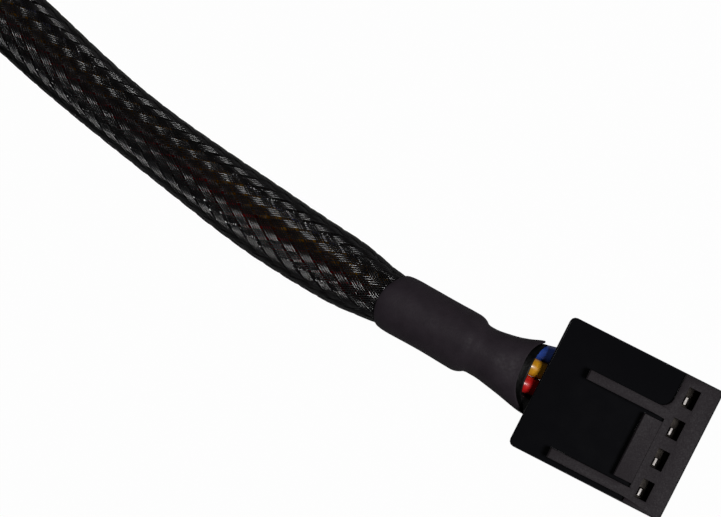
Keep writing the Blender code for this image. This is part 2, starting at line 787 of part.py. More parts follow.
def oval(route, distance, half_gap, radius, rim=0.0, sign=1):
    """Points of a round section drawn apart sideways. With a rim, they dip back as at a cut mouth."""
    points = []
    for i in range(RING_POINTS):
        angle = 2 * math.pi * (i + 0.5) / RING_POINTS
        side = math.copysign(1.0, math.cos(angle))
        across = radius * math.cos(angle) + side * half_gap
        up = radius * math.sin(angle)
        dip = MOUTH_DIP * abs(math.sin(angle)) ** 1.6 + MOUTH_SKEW * math.cos(angle)
        points.append(route.point(distance + sign * rim * dip, across, up))
    return points


# A housing's heat shrink: distance behind the rear face, half gap in wire pitches, share of the neck's
# radius, and how far the mouth's dip still shows
MOUTH_SHAPE = [
    (MOUTH_SETBACK, 0.92, 0.84, 1.00),
    (0.0013, 0.79, 0.84, 0.60),
    (0.0020, 0.60, 0.88, 0.25),
    (0.0028, 0.36, 0.96, 0.0),
    (0.0038, 0.12, 1.00, 0.0),
    (0.0049, 0.0, 1.00, 0.0),
]


def make_housing_shrink(name, route, rear, sign):
    """Over the sleeve's end, through a neck, flared at the housing. The sign is that of the way back."""
    neck = NECK_INNER_RADIUS / math.cos(math.pi / RING_POINTS)
    rings = []
    for behind, gap, share, rim in MOUTH_SHAPE:
        at = rear + sign * behind
        radius = neck * share + SHRINK_WALL
        rings.append(oval(route, at, gap * WIRE_PITCH, radius, rim, sign))
    over = SHRINK_INNER_RADIUS + SHRINK_WALL
    rings.append(oval(route, rear + sign * (SLEEVE_SETBACK - SLEEVE_CLEARANCE), 0.0, over))
    for behind in grip_stations()[1:]:
        rings.append(oval(route, rear + sign * behind, 0.0, over))
    return lofted_tube(name, rings, SHRINK_RUBBER, SHRINK_WALL)


# The fork's heat shrink: distance from its start, then the half gap and inner radius
FORK_SHAPE = [
    (0.0, 0.0, SHRINK_INNER_RADIUS),
    (FORK_GRIP, 0.0, SHRINK_INNER_RADIUS),
    (FIRST_SPLICE, 0.00060, BESIDE_SPLICE + WIRE_RADIUS + 0.00015),
    (FIRST_END, 0.00140, BESIDE_SPLICE + WIRE_RADIUS + 0.00015),
    (SECOND_SPLICE, 0.00195, BESIDE_SPLICE + WIRE_RADIUS + 0.00010),
    (SECOND_END, 0.00225, SPLICE_LEVEL + SPLICE_RADIUS + 0.00020),
    (BRANCH_ENTRY, BRANCH_SPACING / 2, SHRINK_INNER_RADIUS),
    (FORK_LENGTH, BRANCH_SPACING / 2, SHRINK_INNER_RADIUS),
]


def make_fork_shrink():
    rings = [
        oval(TRUNK, FORK_START + at, gap, radius + SHRINK_WALL) for at, gap, radius in FORK_SHAPE
    ]
    return lofted_tube("fork_heat_shrink", rings, SHRINK_RUBBER, SHRINK_WALL)


# Crimp terminals, in the housing's own frame: x forwards from its rear face, z from its underside

BARREL_INNER = WIRE_RADIUS + BARREL_CLEARANCE
BARREL_OUTER = BARREL_INNER + TERMINAL_SHEET
TERMINAL_WIDTH = CAVITY_WIDTH - 2 * TERMINAL_CLEARANCE
TERMINAL_HEIGHT = CAVITY_HEIGHT - 2 * TERMINAL_CLEARANCE
PLUG_TERMINAL_FRONT = CAVITY_END - 2 * TERMINAL_CLEARANCE
PLUG_TERMINAL_BACK = PLUG_TERMINAL_FRONT - CONTACT_LENGTH
SOCKET_CAVITY_END = SOCKET_BLOCK_LENGTH - SOCKET_FRONT_WALL
SOCKET_BODY_LENGTH = 0.0020
SOCKET_TERMINAL_FRONT = SOCKET_CAVITY_END - TERMINAL_CLEARANCE
SOCKET_TERMINAL_BACK = SOCKET_TERMINAL_FRONT - SOCKET_BODY_LENGTH
WIRE_END_GAP = 0.0003
PLUG_WIRE_DEPTH = PLUG_TERMINAL_BACK - WIRE_END_GAP
SOCKET_WIRE_DEPTH = SOCKET_TERMINAL_BACK - WIRE_END_GAP


def in_x(shape_matrix_origin, along=1):
    """A placement that turns a shape made along Z to lie along X."""
    return Matrix.Translation(shape_matrix_origin) @ Matrix.Rotation(along * math.pi / 2, 4, "Y")


def round_bar_mesh(name, centre, radius, length, sides):
    """A round bar along X, by its middle."""
    mesh = bpy.data.meshes.new(name)
    shape = bmesh.new()
    bmesh.ops.create_cone(
        shape,
        cap_ends=True,
        segments=sides,
        radius1=radius,
        radius2=radius,
        depth=length,
        matrix=in_x(centre),
    )
    shape.to_mesh(mesh)
    shape.free()
    return mesh


def square_bar_mesh(name, y, z, sections):
    """A square bar or hole along X that changes size on its way: each section is an x and a half size."""
    mesh = bpy.data.meshes.new(name)
    shape = bmesh.new()
    rings = []
    for x, half in sections:
        corners = ((-half, -half), (half, -half), (half, half), (-half, half))
        rings.append([shape.verts.new((x, y + dy, z + dz)) for dy, dz in corners])
    for before, after in zip(rings, rings[1:]):
        for i in range(4):
            j = (i + 1) % 4
            shape.faces.new((before[i], before[j], after[j], after[i]))
    shape.faces.new(rings[0][::-1])
    shape.faces.new(rings[-1])
    bmesh.ops.recalc_face_normals(shape, faces=shape.faces)
    shape.to_mesh(mesh)
    shape.free()
    return mesh


def crimp_barrel(target, y, z, back, front):
    """Joins an open crimp barrel, rolled round the wire's end, to a terminal."""
    name = target.name
    middle = (back + front) / 2
    length = front - back
    outer = round_bar_mesh(name + "_barrel", (middle, y, z), BARREL_OUTER, length, BARREL_SIDES)
    add(target, outer)
    bore_end = front - TERMINAL_SHEET
    bore_start = back - TERMINAL_SHEET
    bore = round_bar_mesh(
        name + "_bore",
        ((bore_start + bore_end) / 2, y, z),
        BARREL_INNER / math.cos(math.pi / BARREL_SIDES),
        bore_end - bore_start,
        BARREL_SIDES,
    )
    cut(target, bore)
    top = block_mesh(
        name + "_opening",
        (bore_start, y - BARREL_OUTER * 2, z + BARREL_OUTER * BARREL_OPENING),
        (bore_end, y + BARREL_OUTER * 2, z + BARREL_OUTER * 2),
    )
    cut(target, top)


def make_plug_terminal(colour, place):
    """A folded contact box with a lock tang on top, open at the front, and its crimp barrel."""
    y = COLOURS[colour] * PIN_PITCH
    z = CAVITY_CENTRE
    name = "plug_terminal_" + colour
    back, front = PLUG_TERMINAL_BACK, PLUG_TERMINAL_FRONT
    half_width, half_height = TERMINAL_WIDTH / 2, TERMINAL_HEIGHT / 2
    box = block_mesh(name, (back, y - half_width, z - half_height), (front, y + half_width, z + half_height))
    terminal = link(name, box, TIN)
    crimp_barrel(terminal, y, z, back - BARREL_LENGTH, back + TERMINAL_SHEET)
    inside = block_mesh(
        name + "_inside",
        (back + 2 * TERMINAL_SHEET, y - half_width + TERMINAL_SHEET, z - half_height + TERMINAL_SHEET),
        (front + TERMINAL_SHEET, y + half_width - TERMINAL_SHEET, z + half_height - TERMINAL_SHEET),
    )
    cut(terminal, inside)
    # The tang lies to one side. Its raised end faces back, against the rear edge of the window
    rear = PLUG_LENGTH - WINDOW_SETBACK - WINDOW_LENGTH + TERMINAL_CLEARANCE
    low = z + half_height - TERMINAL_SHEET / 2
    high = z + half_height + TANG_RISE
    outline = [
        (rear, low),
        (rear + TANG_LENGTH, low),
        (rear + TERMINAL_SHEET, high),
        (rear, high),
    ]
    middle = y - TANG_SIDE
    tang = side_profile(name + "_tang", outline, middle - TANG_WIDTH / 2, middle + TANG_WIDTH / 2)
    add(terminal, tang)
    return settle(terminal, place)


def make_socket_pin(name, colour, place):
    """A square pin with a tapered tip, the body that holds it in the housing, and its crimp barrel."""
    y = -COLOURS[colour] * PIN_PITCH
    z = SOCKET_CAVITY_CENTRE
    back, front = SOCKET_TERMINAL_BACK, SOCKET_TERMINAL_FRONT
    half_width, half_height = TERMINAL_WIDTH / 2, TERMINAL_HEIGHT / 2
    body = block_mesh(name, (back, y - half_width, z - half_height), (front, y + half_width, z + half_height))
    pin = link(name, body, TIN)
    crimp_barrel(pin, y, z, back - BARREL_LENGTH, back + TERMINAL_SHEET)
    tip = SOCKET_BLOCK_LENGTH + PIN_REACH
    half = PIN_SIZE / 2
    shank = [(front - half, half), (tip - PIN_TIP, half), (tip, half / 2)]
    add(pin, square_bar_mesh(name + "_shank", y, z, shank))
    return settle(pin, place)


# Housings


def cut_wire_entry(housing, centre, cavity_end):
    """The well that the wires close up in, and a cavity for each terminal."""
    half_width = PLUG_WIDTH / 2 - WELL_WALL
    outside = -WELL_WALL
    well = block_mesh(
        housing.name + "_well",
        (outside, -half_width, centre - WELL_HEIGHT / 2),
        (WELL_DEPTH, half_width, centre + WELL_HEIGHT / 2),
    )
    cut(housing, well)
    for pin, step in enumerate(COLOURS.values(), start=1):
        y = step * PIN_PITCH
        cavity = block_mesh(
            f"{housing.name}_cavity_{pin}",
            (WELL_DEPTH - WELL_WALL, y - CAVITY_WIDTH / 2, centre - CAVITY_HEIGHT / 2),
            (cavity_end, y + CAVITY_WIDTH / 2, centre + CAVITY_HEIGHT / 2),
        )
        cut(housing, cavity)


def make_plug_housing(place):
    """The moulded female housing: ribs and a ramp on top, a thicker front with four windows."""
    half = PLUG_WIDTH / 2
    housing = rounded_block(
        "plug_housing",
        (0.0, -half, 0.0),
        (PLUG_LENGTH, half, PLUG_HEIGHT),
        HOUSING_PLASTIC,
        PLUG_CORNER,
    )
    sunk = PLUG_HEIGHT - FRONT_ZONE_STEP
    zone = PLUG_LENGTH - FRONT_ZONE_LENGTH
    inset = EDGE_ROUNDING
    rib_side = INNER_RIB_Y + RIB_WIDTH / 2
    corner = []
    for i in range(FILLET_STEPS + 1):
        angle = -math.pi / 2 * i / FILLET_STEPS
        corner.append(
            (
                zone - FRONT_ZONE_FILLET + FRONT_ZONE_FILLET * math.cos(angle),
                rib_side + FRONT_ZONE_FILLET + FRONT_ZONE_FILLET * math.sin(angle),
            )
        )
    outline = [
        (PLUG_LENGTH - inset, half - inset),
        (zone, half - inset),
        *corner,
        (zone - FRONT_ZONE_FILLET, INNER_RIB_Y),
        (zone, INNER_RIB_Y),
        (zone, -half + inset),
        (PLUG_LENGTH - inset, -half + inset),
    ]
    thick = FRONT_ZONE_TOP - sunk
    raised = Matrix.Translation((0.0, 0.0, sunk + thick / 2))
    add(housing, flat_outline("front_zone", outline, thick, raised))
    rib_end = zone + RIB_LEAD_IN / 4
    rib_start = zone - RIB_LENGTH - RIB_LEAD_IN / 8
    rib = [
        (rib_start, sunk),
        (rib_end, sunk),
        (rib_end, FRONT_ZONE_TOP - FRONT_ZONE_STEP / 3),
        (rib_end - RIB_LEAD_IN, RIB_TOP),
        (rib_start + EDGE_ROUNDING, RIB_TOP),
        (rib_start, RIB_TOP - EDGE_ROUNDING),
    ]
    for name, y in (("inner_rib", INNER_RIB_Y), ("outer_rib", OUTER_RIB_Y)):
        add(housing, side_profile(name, rib, y - RIB_WIDTH / 2, y + RIB_WIDTH / 2))
    crest = zone - RAMP_LENGTH
    foot = zone + RAMP_LENGTH / 8
    ramp = [
        (crest, sunk),
        (foot, sunk),
        (foot, FRONT_ZONE_TOP - FRONT_ZONE_STEP / 3),
        (crest + EDGE_ROUNDING, PLUG_HEIGHT + RAMP_HEIGHT),
        (crest, PLUG_HEIGHT + RAMP_HEIGHT - EDGE_ROUNDING),
    ]
    low = OUTER_RIB_Y + RIB_WIDTH / 2 + RAMP_SIDE_GAP
    high = INNER_RIB_Y - RIB_WIDTH / 2 - RAMP_SIDE_GAP
    add(housing, side_profile("ramp", ramp, low, high))
    cut_wire_entry(housing, CAVITY_CENTRE, CAVITY_END)
    window_front = PLUG_LENGTH - WINDOW_SETBACK
    for pin, step in enumerate(COLOURS.values(), start=1):
        y = step * PIN_PITCH
        window = block_mesh(
            f"window_{pin}",
            (window_front - WINDOW_LENGTH, y - WINDOW_WIDTH / 2, CAVITY_CENTRE),
            (window_front, y + WINDOW_WIDTH / 2, RIB_TOP),
        )
        cut(housing, window)
        half_hole = PLUG_HOLE / 2
        hole = [
            (CAVITY_END - HOLE_CHAMFER, half_hole),
            (PLUG_LENGTH - HOLE_CHAMFER, half_hole),
            (PLUG_LENGTH + HOLE_CHAMFER, half_hole + 2 * HOLE_CHAMFER),
        ]
        cut(housing, square_bar_mesh(f"pin_hole_{pin}", y, CAVITY_CENTRE, hole))
    return settle(housing, place)


def make_socket_housing(name, colours, place):
    """The male housing: a block for the terminals, a shelf under the pins and a lock tongue above."""
    half = PLUG_WIDTH / 2
    front = SOCKET_BLOCK_LENGTH + SOCKET_SHROUD_LENGTH
    housing = rounded_block(
        name,
        (0.0, -half, 0.0),
        (SOCKET_BLOCK_LENGTH, half, SOCKET_HEIGHT),
        HOUSING_PLASTIC,
        PLUG_CORNER,
    )
    inset = EDGE_ROUNDING
    overlap = SOCKET_BLOCK_LENGTH - SOCKET_FRONT_WALL / 2
    shelf = block_mesh(
        name + "_shelf", (overlap, -half + inset, inset / 2), (front, half - inset, SOCKET_SHELF)
    )
    add(housing, shelf)
    # The tongue slides between the plug's ribs, so it takes its place from them
    rib_gap_middle = (INNER_RIB_Y + OUTER_RIB_Y) / 2
    rib_gap = INNER_RIB_Y - OUTER_RIB_Y - RIB_WIDTH
    tongue_half = rib_gap / 2 - SOCKET_TONGUE_SIDE_GAP
    reach = SOCKET_BLOCK_LENGTH + SOCKET_TONGUE_LENGTH
    top = SOCKET_HEIGHT - inset / 2
    ramp_crest = FRONT_ZONE_LENGTH + RAMP_LENGTH
    catch = SOCKET_BLOCK_LENGTH + ramp_crest + SOCKET_CLEARANCE
    tongue = [
        (overlap, top),
        (overlap, TONGUE_UNDERSIDE),
        (catch, TONGUE_UNDERSIDE),
        (catch, TONGUE_UNDERSIDE - SOCKET_BUMP),
        (catch + SOCKET_BUMP_LENGTH / 2, TONGUE_UNDERSIDE - SOCKET_BUMP),
        (catch + SOCKET_BUMP_LENGTH, TONGUE_UNDERSIDE + SOCKET_BUMP / 4),
        (reach, TONGUE_UNDERSIDE + SOCKET_BUMP / 2),
        (reach, top - SOCKET_BUMP / 2),
        (reach - SOCKET_BUMP, top),
    ]
    low, high = -rib_gap_middle - tongue_half, -rib_gap_middle + tongue_half
    add(housing, side_profile(name + "_tongue", tongue, low, high))
    cut_wire_entry(housing, SOCKET_CAVITY_CENTRE, SOCKET_CAVITY_END)
    hole = PIN_SIZE / 2 + TERMINAL_CLEARANCE
    for colour in colours:
        y = -COLOURS[colour] * PIN_PITCH
        opening = block_mesh(
            f"{name}_hole_{colour}",
            (SOCKET_CAVITY_END - SOCKET_FRONT_WALL / 2, y - hole, SOCKET_CAVITY_CENTRE - hole),
            (SOCKET_BLOCK_LENGTH + SOCKET_FRONT_WALL / 2, y + hole, SOCKET_CAVITY_CENTRE + hole),
        )
        cut(housing, opening)
    return settle(housing, place)


# The tie


def make_tie():
    """A flat strap round the trunk and both branches, its end laid over itself on top."""
    outermost = TRUNK.point(distance_at_angle(TRUNK, TIE_ANGLE))
    innermost = BRANCHES["b"][0].point(distance_at_angle(BRANCHES["b"][0], TIE_ANGLE))
    trunk_radius = (outermost.xy - COIL_CENTRE).length
    inner_radius = (innermost.xy - COIL_CENTRE).length
    trunk_half = SLEEVE_END_RADIUS + TRUNK_SWELL
    branch_half = SLEEVE_END_RADIUS + BRANCH_SWELL
    near = inner_radius - branch_half - TIE_SLACK - TIE_THICKNESS
    far = trunk_radius + trunk_half + TIE_SLACK + TIE_THICKNESS
    radius = trunk_half + TIE_CLEARANCE + TIE_THICKNESS
    half_gap = (far - near) / 2 - radius
    outward = coil_point(TIE_ANGLE, 1.0, Vector((0.0, 0.0)))
    sideways = Vector((-outward.y, outward.x, 0.0))
    x, y = coil_point(TIE_ANGLE, (near + far) / 2)
    middle = Vector((x, y, outermost.z))
    outward = Vector((outward.x, outward.y, 0.0))
    rings = []
    for end in (-TIE_WIDTH / 2, TIE_WIDTH / 2):
        ring = []
        for i in range(RING_POINTS):
            angle = 2 * math.pi * (i + 0.5) / RING_POINTS
            across = radius * math.cos(angle) + math.copysign(half_gap, math.cos(angle))
            ring.append(middle + outward * across + Vector((0, 0, radius * math.sin(angle))) + sideways * end)
        rings.append(ring)
    strap = lofted_tube("coil_tie", rings, TIE_PLASTIC, TIE_THICKNESS)
    flat = radius * math.cos(math.pi / RING_POINTS)
    half_width = TIE_WIDTH / 2 - EDGE_ROUNDING
    lap = block_mesh(
        "tie_lap",
        (-TIE_OVERLAP / 2, -half_width, flat - TIE_THICKNESS / 2),
        (TIE_OVERLAP / 2, half_width, flat + TIE_THICKNESS),
    )
    turn = Matrix.Rotation(math.atan2(outward.y, outward.x), 4, "Z")
    lap.transform(Matrix.Translation(middle) @ turn)
    add(strap, lap)


def housing_place(branch):
    """Where a branch's housing lies: its rear face at the end of the branch, facing along it."""
    route, heading = BRANCHES[branch]
    x, y, _ = route.read(branch_length(branch))
    return Matrix.Translation((x, y, 0.0)) @ Matrix.Rotation(heading, 4, "Z")


def main():
    plug_place = Matrix.Translation((-PLUG_LENGTH / 2, 0.0, 0.0))
    make_plug_housing(plug_place)
    for colour in COLOURS:
        make_plug_terminal(colour, plug_place)
    make_housing_shrink("plug_heat_shrink", TRUNK, TRUNK_REAR, 1)
    make_trunk_sleeve()
    make_fork_shrink()
    make_splices()
    make_wires()
    for branch in BRANCHES:
        place = housing_place(branch)
        colours = list(BUNDLE[branch])
        make_branch_sleeve(branch)
        rear = branch_length(branch)
        make_housing_shrink(f"branch_{branch}_heat_shrink", BRANCHES[branch][0], rear, -1)
        make_socket_housing(f"branch_{branch}_housing", colours, place)
        for colour in colours:
            make_socket_pin(f"branch_{branch}_pin_{colour}", colour, place)
    make_tie()


main()
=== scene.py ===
"""Finishes the fan splitter cable, and sets up its light and camera."""

import math

import bpy
import numpy as np
from mathutils import Matrix, Vector


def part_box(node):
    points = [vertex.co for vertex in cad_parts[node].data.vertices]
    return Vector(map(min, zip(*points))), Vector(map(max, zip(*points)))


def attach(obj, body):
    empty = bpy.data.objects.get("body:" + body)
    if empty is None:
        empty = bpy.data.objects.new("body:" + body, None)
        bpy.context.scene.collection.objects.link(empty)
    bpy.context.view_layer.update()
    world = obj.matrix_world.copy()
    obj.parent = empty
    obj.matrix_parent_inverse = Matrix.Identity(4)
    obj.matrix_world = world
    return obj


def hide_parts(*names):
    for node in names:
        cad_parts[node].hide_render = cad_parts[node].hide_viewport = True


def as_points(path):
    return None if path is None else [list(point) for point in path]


bl_info = {
    "name": "Fan Splitter Cable Finish",
    "version": (1, 0, 0),
    "blender": (4, 5, 0),
    "location": "View3D > Sidebar > Fan Cable",
    "description": "Braids, wires, heat shrinks and moulded housings for a fan splitter cable",
    "category": "Object",
}

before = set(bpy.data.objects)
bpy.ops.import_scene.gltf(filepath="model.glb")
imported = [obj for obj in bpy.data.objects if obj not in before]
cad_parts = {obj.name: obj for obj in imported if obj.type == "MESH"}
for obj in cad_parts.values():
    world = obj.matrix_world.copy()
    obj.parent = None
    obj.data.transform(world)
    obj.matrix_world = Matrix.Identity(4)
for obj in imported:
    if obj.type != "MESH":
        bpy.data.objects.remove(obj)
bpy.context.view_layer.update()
PLUG_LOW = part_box("plug_housing")[0]

# Sizes that the cable's solids have, in metres

WIRE_DIAMETER = 0.00134
WIRE_PITCH = 0.0014
PIN_PITCH = 0.00254
SLEEVE_END_RADIUS = 0.002043
TRUNK_SWELL = 0.00070
BRANCH_SWELL = 0.00020
BRANCH_SPACING = 0.0047
PLUG_BODY_TOP = 0.0046
WELL_DEPTH = 0.0039
PLUG_WIRE_DEPTH = 0.00675
SOCKET_WIRE_DEPTH = 0.0062
SHRINK_LENGTH = 0.0129
SLEEVE_SETBACK = 0.0057
FORK_LENGTH = 0.0280
FORK_GRIP = 0.0050
SPLICE_DIAMETER = 0.0019
SPLICE_LENGTH = 0.0040
SPLICE_GAP = 0.0001
SOCKET_CAVITY_CENTRE = 0.0034
TANG_RISE = 0.0013

# The trunk's route: x, y, z and how far the braid swells there
TRUNK_POINTS = [
    (0.0030, 0.0000, 0.00230, 0.0),
    (-0.0010, 0.0000, 0.00230, 0.0),
    (-0.0040, 0.0000, 0.00230, 0.0),
    (-0.0070, -0.0001, 0.00232, 0.0),
    (-0.0113, -0.0001, 0.00240, 0.0),
    (-0.0155, 0.0001, 0.00250, 0.0),
    (-0.0180, 0.0002, 0.00258, 0.0),
    (-0.0204, 0.0003, 0.00266, 0.34),
    (-0.0228, 0.0005, 0.00276, 0.86),
    (-0.0253, 0.0007, 0.00282, 1.02),
    (-0.0301, 0.0012, 0.00286, 1.12),
    (-0.0349, 0.0019, 0.00286, 0.98),
    (-0.0397, 0.0027, 0.00280, 0.75),
    (-0.0449, 0.0037, 0.00278, 0.70),
    (-0.0497, 0.00485, 0.00281, 0.86),
    (-0.0544, 0.00614, 0.00290, 0.98),
    (-0.0600, 0.00773, 0.00309, 1.0),
    (-0.0660, 0.00941, 0.00339, 1.0),
    (-0.0720, 0.01110, 0.00359, 1.0),
]

# The coil, and how the branches run inside it
COIL_START = (-0.0775, 0.01265)
COIL_HEADING = math.radians(164.3)
COIL_RADIUS = 0.0310
COIL_POINT_ANGLE = math.radians(12)
INNER_POINT_ANGLE = COIL_POINT_ANGLE * 1.4
TRUNK_COIL_ANGLE = math.radians(150)
FORK_COIL_ANGLE = math.radians(54)
BRANCH_RADIUS_AT_TRUNK = 0.0234
INNER_TURN_RADIUS = 0.014
COIL_HEIGHT = 0.0028
BRANCH_HEIGHT = 0.00245
DESCENT_ANGLE = 0.8
TIE_LIFT = 0.0008
TIE_ANGLE = math.radians(-8)
TIE_LIFT_LENGTH = 0.014
SOCKET_SPREAD = 0.0057
LAST_STRAIGHT = {"a": 0.0055, "b": 0.0115}
SOCKET_HEADING_TURN = math.radians(125)
RISE_LENGTH = 0.0100
ROUTE_INTO_HOUSING = 0.0070
GRIP_STEP = 0.0036
ROUTE_STEP = 0.0002
SIDES = {"a": 1, "b": -1}

# How soon a braid swells or closes: the trunk's at the fork, a branch's at the fork and at its end
TRUNK_CLOSING = 0.006
BRANCH_OPENING = 0.008
BRANCH_CLOSING = 0.005

# Where each wire lies in the row at a housing, in pitches from the middle, and then its corner of
# the bundle, across and up
COLOURS = {"black": -1.5, "red": -0.5, "yellow": 0.5, "blue": 1.5}
BUNDLE = {
    "trunk": {"black": (-1, -1), "red": (-1, 1), "yellow": (1, 1), "blue": (1, -1)},
    "a": {"black": (-1, -1), "red": (-1, 1), "yellow": (1, -1), "blue": (1, 1)},
    "b": {"black": (-1, 1), "red": (-1, -1), "blue": (1, -1)},
}

# The row of wires closes up into the bundle: distance behind the housing, then the places across
# and up of an outer and of an inner wire, in wire pitches
FAN = np.array(
    [
        (0.0, 1.5, 0.0, 0.5, 0.0),
        (0.0009, 1.37, 0.11, 0.50, 0.36),
        (0.0019, 1.11, 0.29, 0.50, 0.49),
        (0.0032, 0.79, 0.46, 0.50, 0.50),
        (0.0050, 0.50, 0.50, 0.50, 0.50),
    ]
)
FAN_END = FAN[-1, 0]
PAST_FAN = 0.0015
TRUNK_WIRE_STEP = 0.0025
BRANCH_WIRE_STEP = 0.0030

# In the shown stretch the bundle sways, turning to and fro, and presses up against the braid
SWAY_ANGLE = 0.22
SWAY_WAVE = 0.0048
SWAY_START_LENGTH = 0.010
PRESS_HEIGHT = 0.00030
PRESS_END = 0.075
PRESS_END_LENGTH = 0.020
# Where branch B's bundle starts to turn, and how much of its length it leaves unturned
TURN_START = 0.005
TURN_REST = 0.020

WIRE_RADIUS = WIRE_DIAMETER / 2
INSULATION_RADIUS = WIRE_PITCH / 2 - 0.000004


# Routes


class Route:
    """A smooth curve through chosen points, read by the distance along it."""

    def __init__(self, points):
        knots = np.array(points, dtype=float)
        gaps = np.linalg.norm(np.diff(knots[:, :3], axis=0), axis=1)
        at = np.concatenate([[0.0], np.cumsum(gaps)])
        bends = self.second_derivatives(at, knots)
        fine = np.arange(0.0, at[-1] + ROUTE_STEP / 2, ROUTE_STEP)
        fine[-1] = min(fine[-1], at[-1])
        piece = np.clip(np.searchsorted(at, fine, side="right") - 1, 0, len(gaps) - 1)
        span = gaps[piece][:, None]
        right = (fine - at[piece])[:, None] / span
        left = 1.0 - right
        self.values = left * knots[piece] + right * knots[piece + 1]
        self.values += span**2 / 6 * (
            (left**3 - left) * bends[piece] + (right**3 - right) * bends[piece + 1]
        )
        steps = np.linalg.norm(np.diff(self.values[:, :3], axis=0), axis=1)
        self.distance = np.concatenate([[0.0], np.cumsum(steps)])
        self.length = self.distance[-1]

    @staticmethod
    def second_derivatives(at, knots):
        """Those of the natural cubic spline through the knots."""
        count = len(at)
        matrix = np.eye(count)
        wanted = np.zeros_like(knots)
        for i in range(1, count - 1):
            before, after = at[i] - at[i - 1], at[i + 1] - at[i]
            matrix[i, i - 1 : i + 2] = before / 6, (before + after) / 3, after / 6
            wanted[i] = (knots[i + 1] - knots[i]) / after - (knots[i] - knots[i - 1]) / before
        return np.linalg.solve(matrix, wanted)

    def read(self, distance):
        """The point there, with any further values that the knots hold."""
        return [
            float(np.interp(distance, self.distance, self.values[:, i]))
            for i in range(self.values.shape[1])
        ]

    def frame(self, distance):
        """The point there, with the ways across (to the right of travel) and up."""
        here = Vector(self.read(distance)[:3])
        ahead = Vector(self.read(min(distance + ROUTE_STEP, self.length))[:3])
        behind = Vector(self.read(max(distance - ROUTE_STEP, 0.0))[:3])
        along = (ahead - behind).normalized()
        across = along.cross(Vector((0, 0, 1))).normalized()
        return here, across, across.cross(along)

    def point(self, distance, across_by=0.0, up_by=0.0):
        here, across, up = self.frame(distance)
        return here + across * across_by + up * up_by


def spaced(start, end, step):
    """Distances from start to end, evenly spaced and no further apart than step."""
    count = max(1, math.ceil((end - start) / step - 1e-6))
    return [start + (end - start) * i / count for i in range(count + 1)]


def eased(share):
    """From 0 to 1 with a soft start and end."""
    share = min(max(share, 0.0), 1.0)
    return share * share * (3 - 2 * share)


COIL_INWARD = Vector((-math.sin(COIL_HEADING), math.cos(COIL_HEADING)))
COIL_CENTRE = Vector(COIL_START) + COIL_RADIUS * COIL_INWARD
COIL_AHEAD = Vector((math.cos(COIL_HEADING), math.sin(COIL_HEADING)))


def coil_point(angle, radius, centre=COIL_CENTRE):
    outward, ahead = radius * math.cos(angle), radius * math.sin(angle)
    return centre - COIL_INWARD * outward + COIL_AHEAD * ahead


def coil_radius(angle):
    """Of the middle line of the fork and the branches, which draw in to pass inside the trunk."""
    share = (angle - TRUNK_COIL_ANGLE) / (2 * math.pi - TRUNK_COIL_ANGLE)
    return COIL_RADIUS + (BRANCH_RADIUS_AT_TRUNK - COIL_RADIUS) * eased(share)


def tie_lift(angle):
    """How far the cable rises, at an angle round the coil, to let the tie pass under it."""
    away = (angle - TIE_ANGLE) * COIL_RADIUS / TIE_LIFT_LENGTH
    return TIE_LIFT * math.exp(-away * away)


def branch_height(behind):
    """Of a branch's middle, which rises to the height of the wires in its housing behind it."""
    share = eased(behind / RISE_LENGTH)
    return SOCKET_CAVITY_CENTRE + (BRANCH_HEIGHT - SOCKET_CAVITY_CENTRE) * share


def trunk_route():
    """From the plug's middle to the end of the fork."""
    points = list(TRUNK_POINTS)
    for angle in spaced(0.0, TRUNK_COIL_ANGLE + FORK_COIL_ANGLE, COIL_POINT_ANGLE):
        x, y = coil_point(angle, coil_radius(max(angle, TRUNK_COIL_ANGLE)))
        points.append((x, y, COIL_HEIGHT + tie_lift(angle), 1.0))
    return Route(points)


def branch_route(branch):
    """From the fork's end into the branch's housing."""
    side = SIDES[branch]
    start = TRUNK_COIL_ANGLE + FORK_COIL_ANGLE
    offset = side * BRANCH_SPACING / 2
    full = 2 * math.pi
    points = []
    for angle in spaced(start, full, COIL_POINT_ANGLE):
        x, y = coil_point(angle, coil_radius(angle) + offset)
        share = eased((angle - start) / DESCENT_ANGLE)
        height = COIL_HEIGHT + (BRANCH_HEIGHT - COIL_HEIGHT) * share
        points.append((x, y, height + tie_lift(angle - full)))
    turn_centre = COIL_CENTRE - COIL_INWARD * (BRANCH_RADIUS_AT_TRUNK - INNER_TURN_RADIUS)
    last = SOCKET_HEADING_TURN
    straight = LAST_STRAIGHT[branch]
    for angle in spaced(0.0, last, INNER_POINT_ANGLE)[1:]:
        apart = offset + (side * SOCKET_SPREAD - offset) * eased(angle / last)
        x, y = coil_point(angle, INNER_TURN_RADIUS + apart, turn_centre)
        behind = straight + (last - angle) * INNER_TURN_RADIUS
        points.append((x, y, branch_height(behind) + tie_lift(angle)))
    heading = COIL_HEADING + last
    ahead = Vector((math.cos(heading), math.sin(heading)))
    rear = Vector(points[-1][:2]) + ahead * straight
    for behind in reversed(spaced(0.0, straight, GRIP_STEP)[:-1]):
        x, y = rear - ahead * behind
        points.append((x, y, branch_height(behind)))
    x, y = rear + ahead * ROUTE_INTO_HOUSING
    points.append((x, y, SOCKET_CAVITY_CENTRE))
    return Route(points)


TRUNK = trunk_route()
BRANCHES = {branch: branch_route(branch) for branch in SIDES}
TRUNK_REAR = TRUNK_POINTS[0][0] - PLUG_LOW.x
TRUNK_SLEEVE_START = TRUNK_REAR + SLEEVE_SETBACK
FORK_START = TRUNK.length - FORK_LENGTH
TRUNK_SLEEVE_END = FORK_START + FORK_GRIP


def branch_length(branch):
    """From the fork's end to the housing's rear face."""
    return BRANCHES[branch].length - ROUTE_INTO_HOUSING


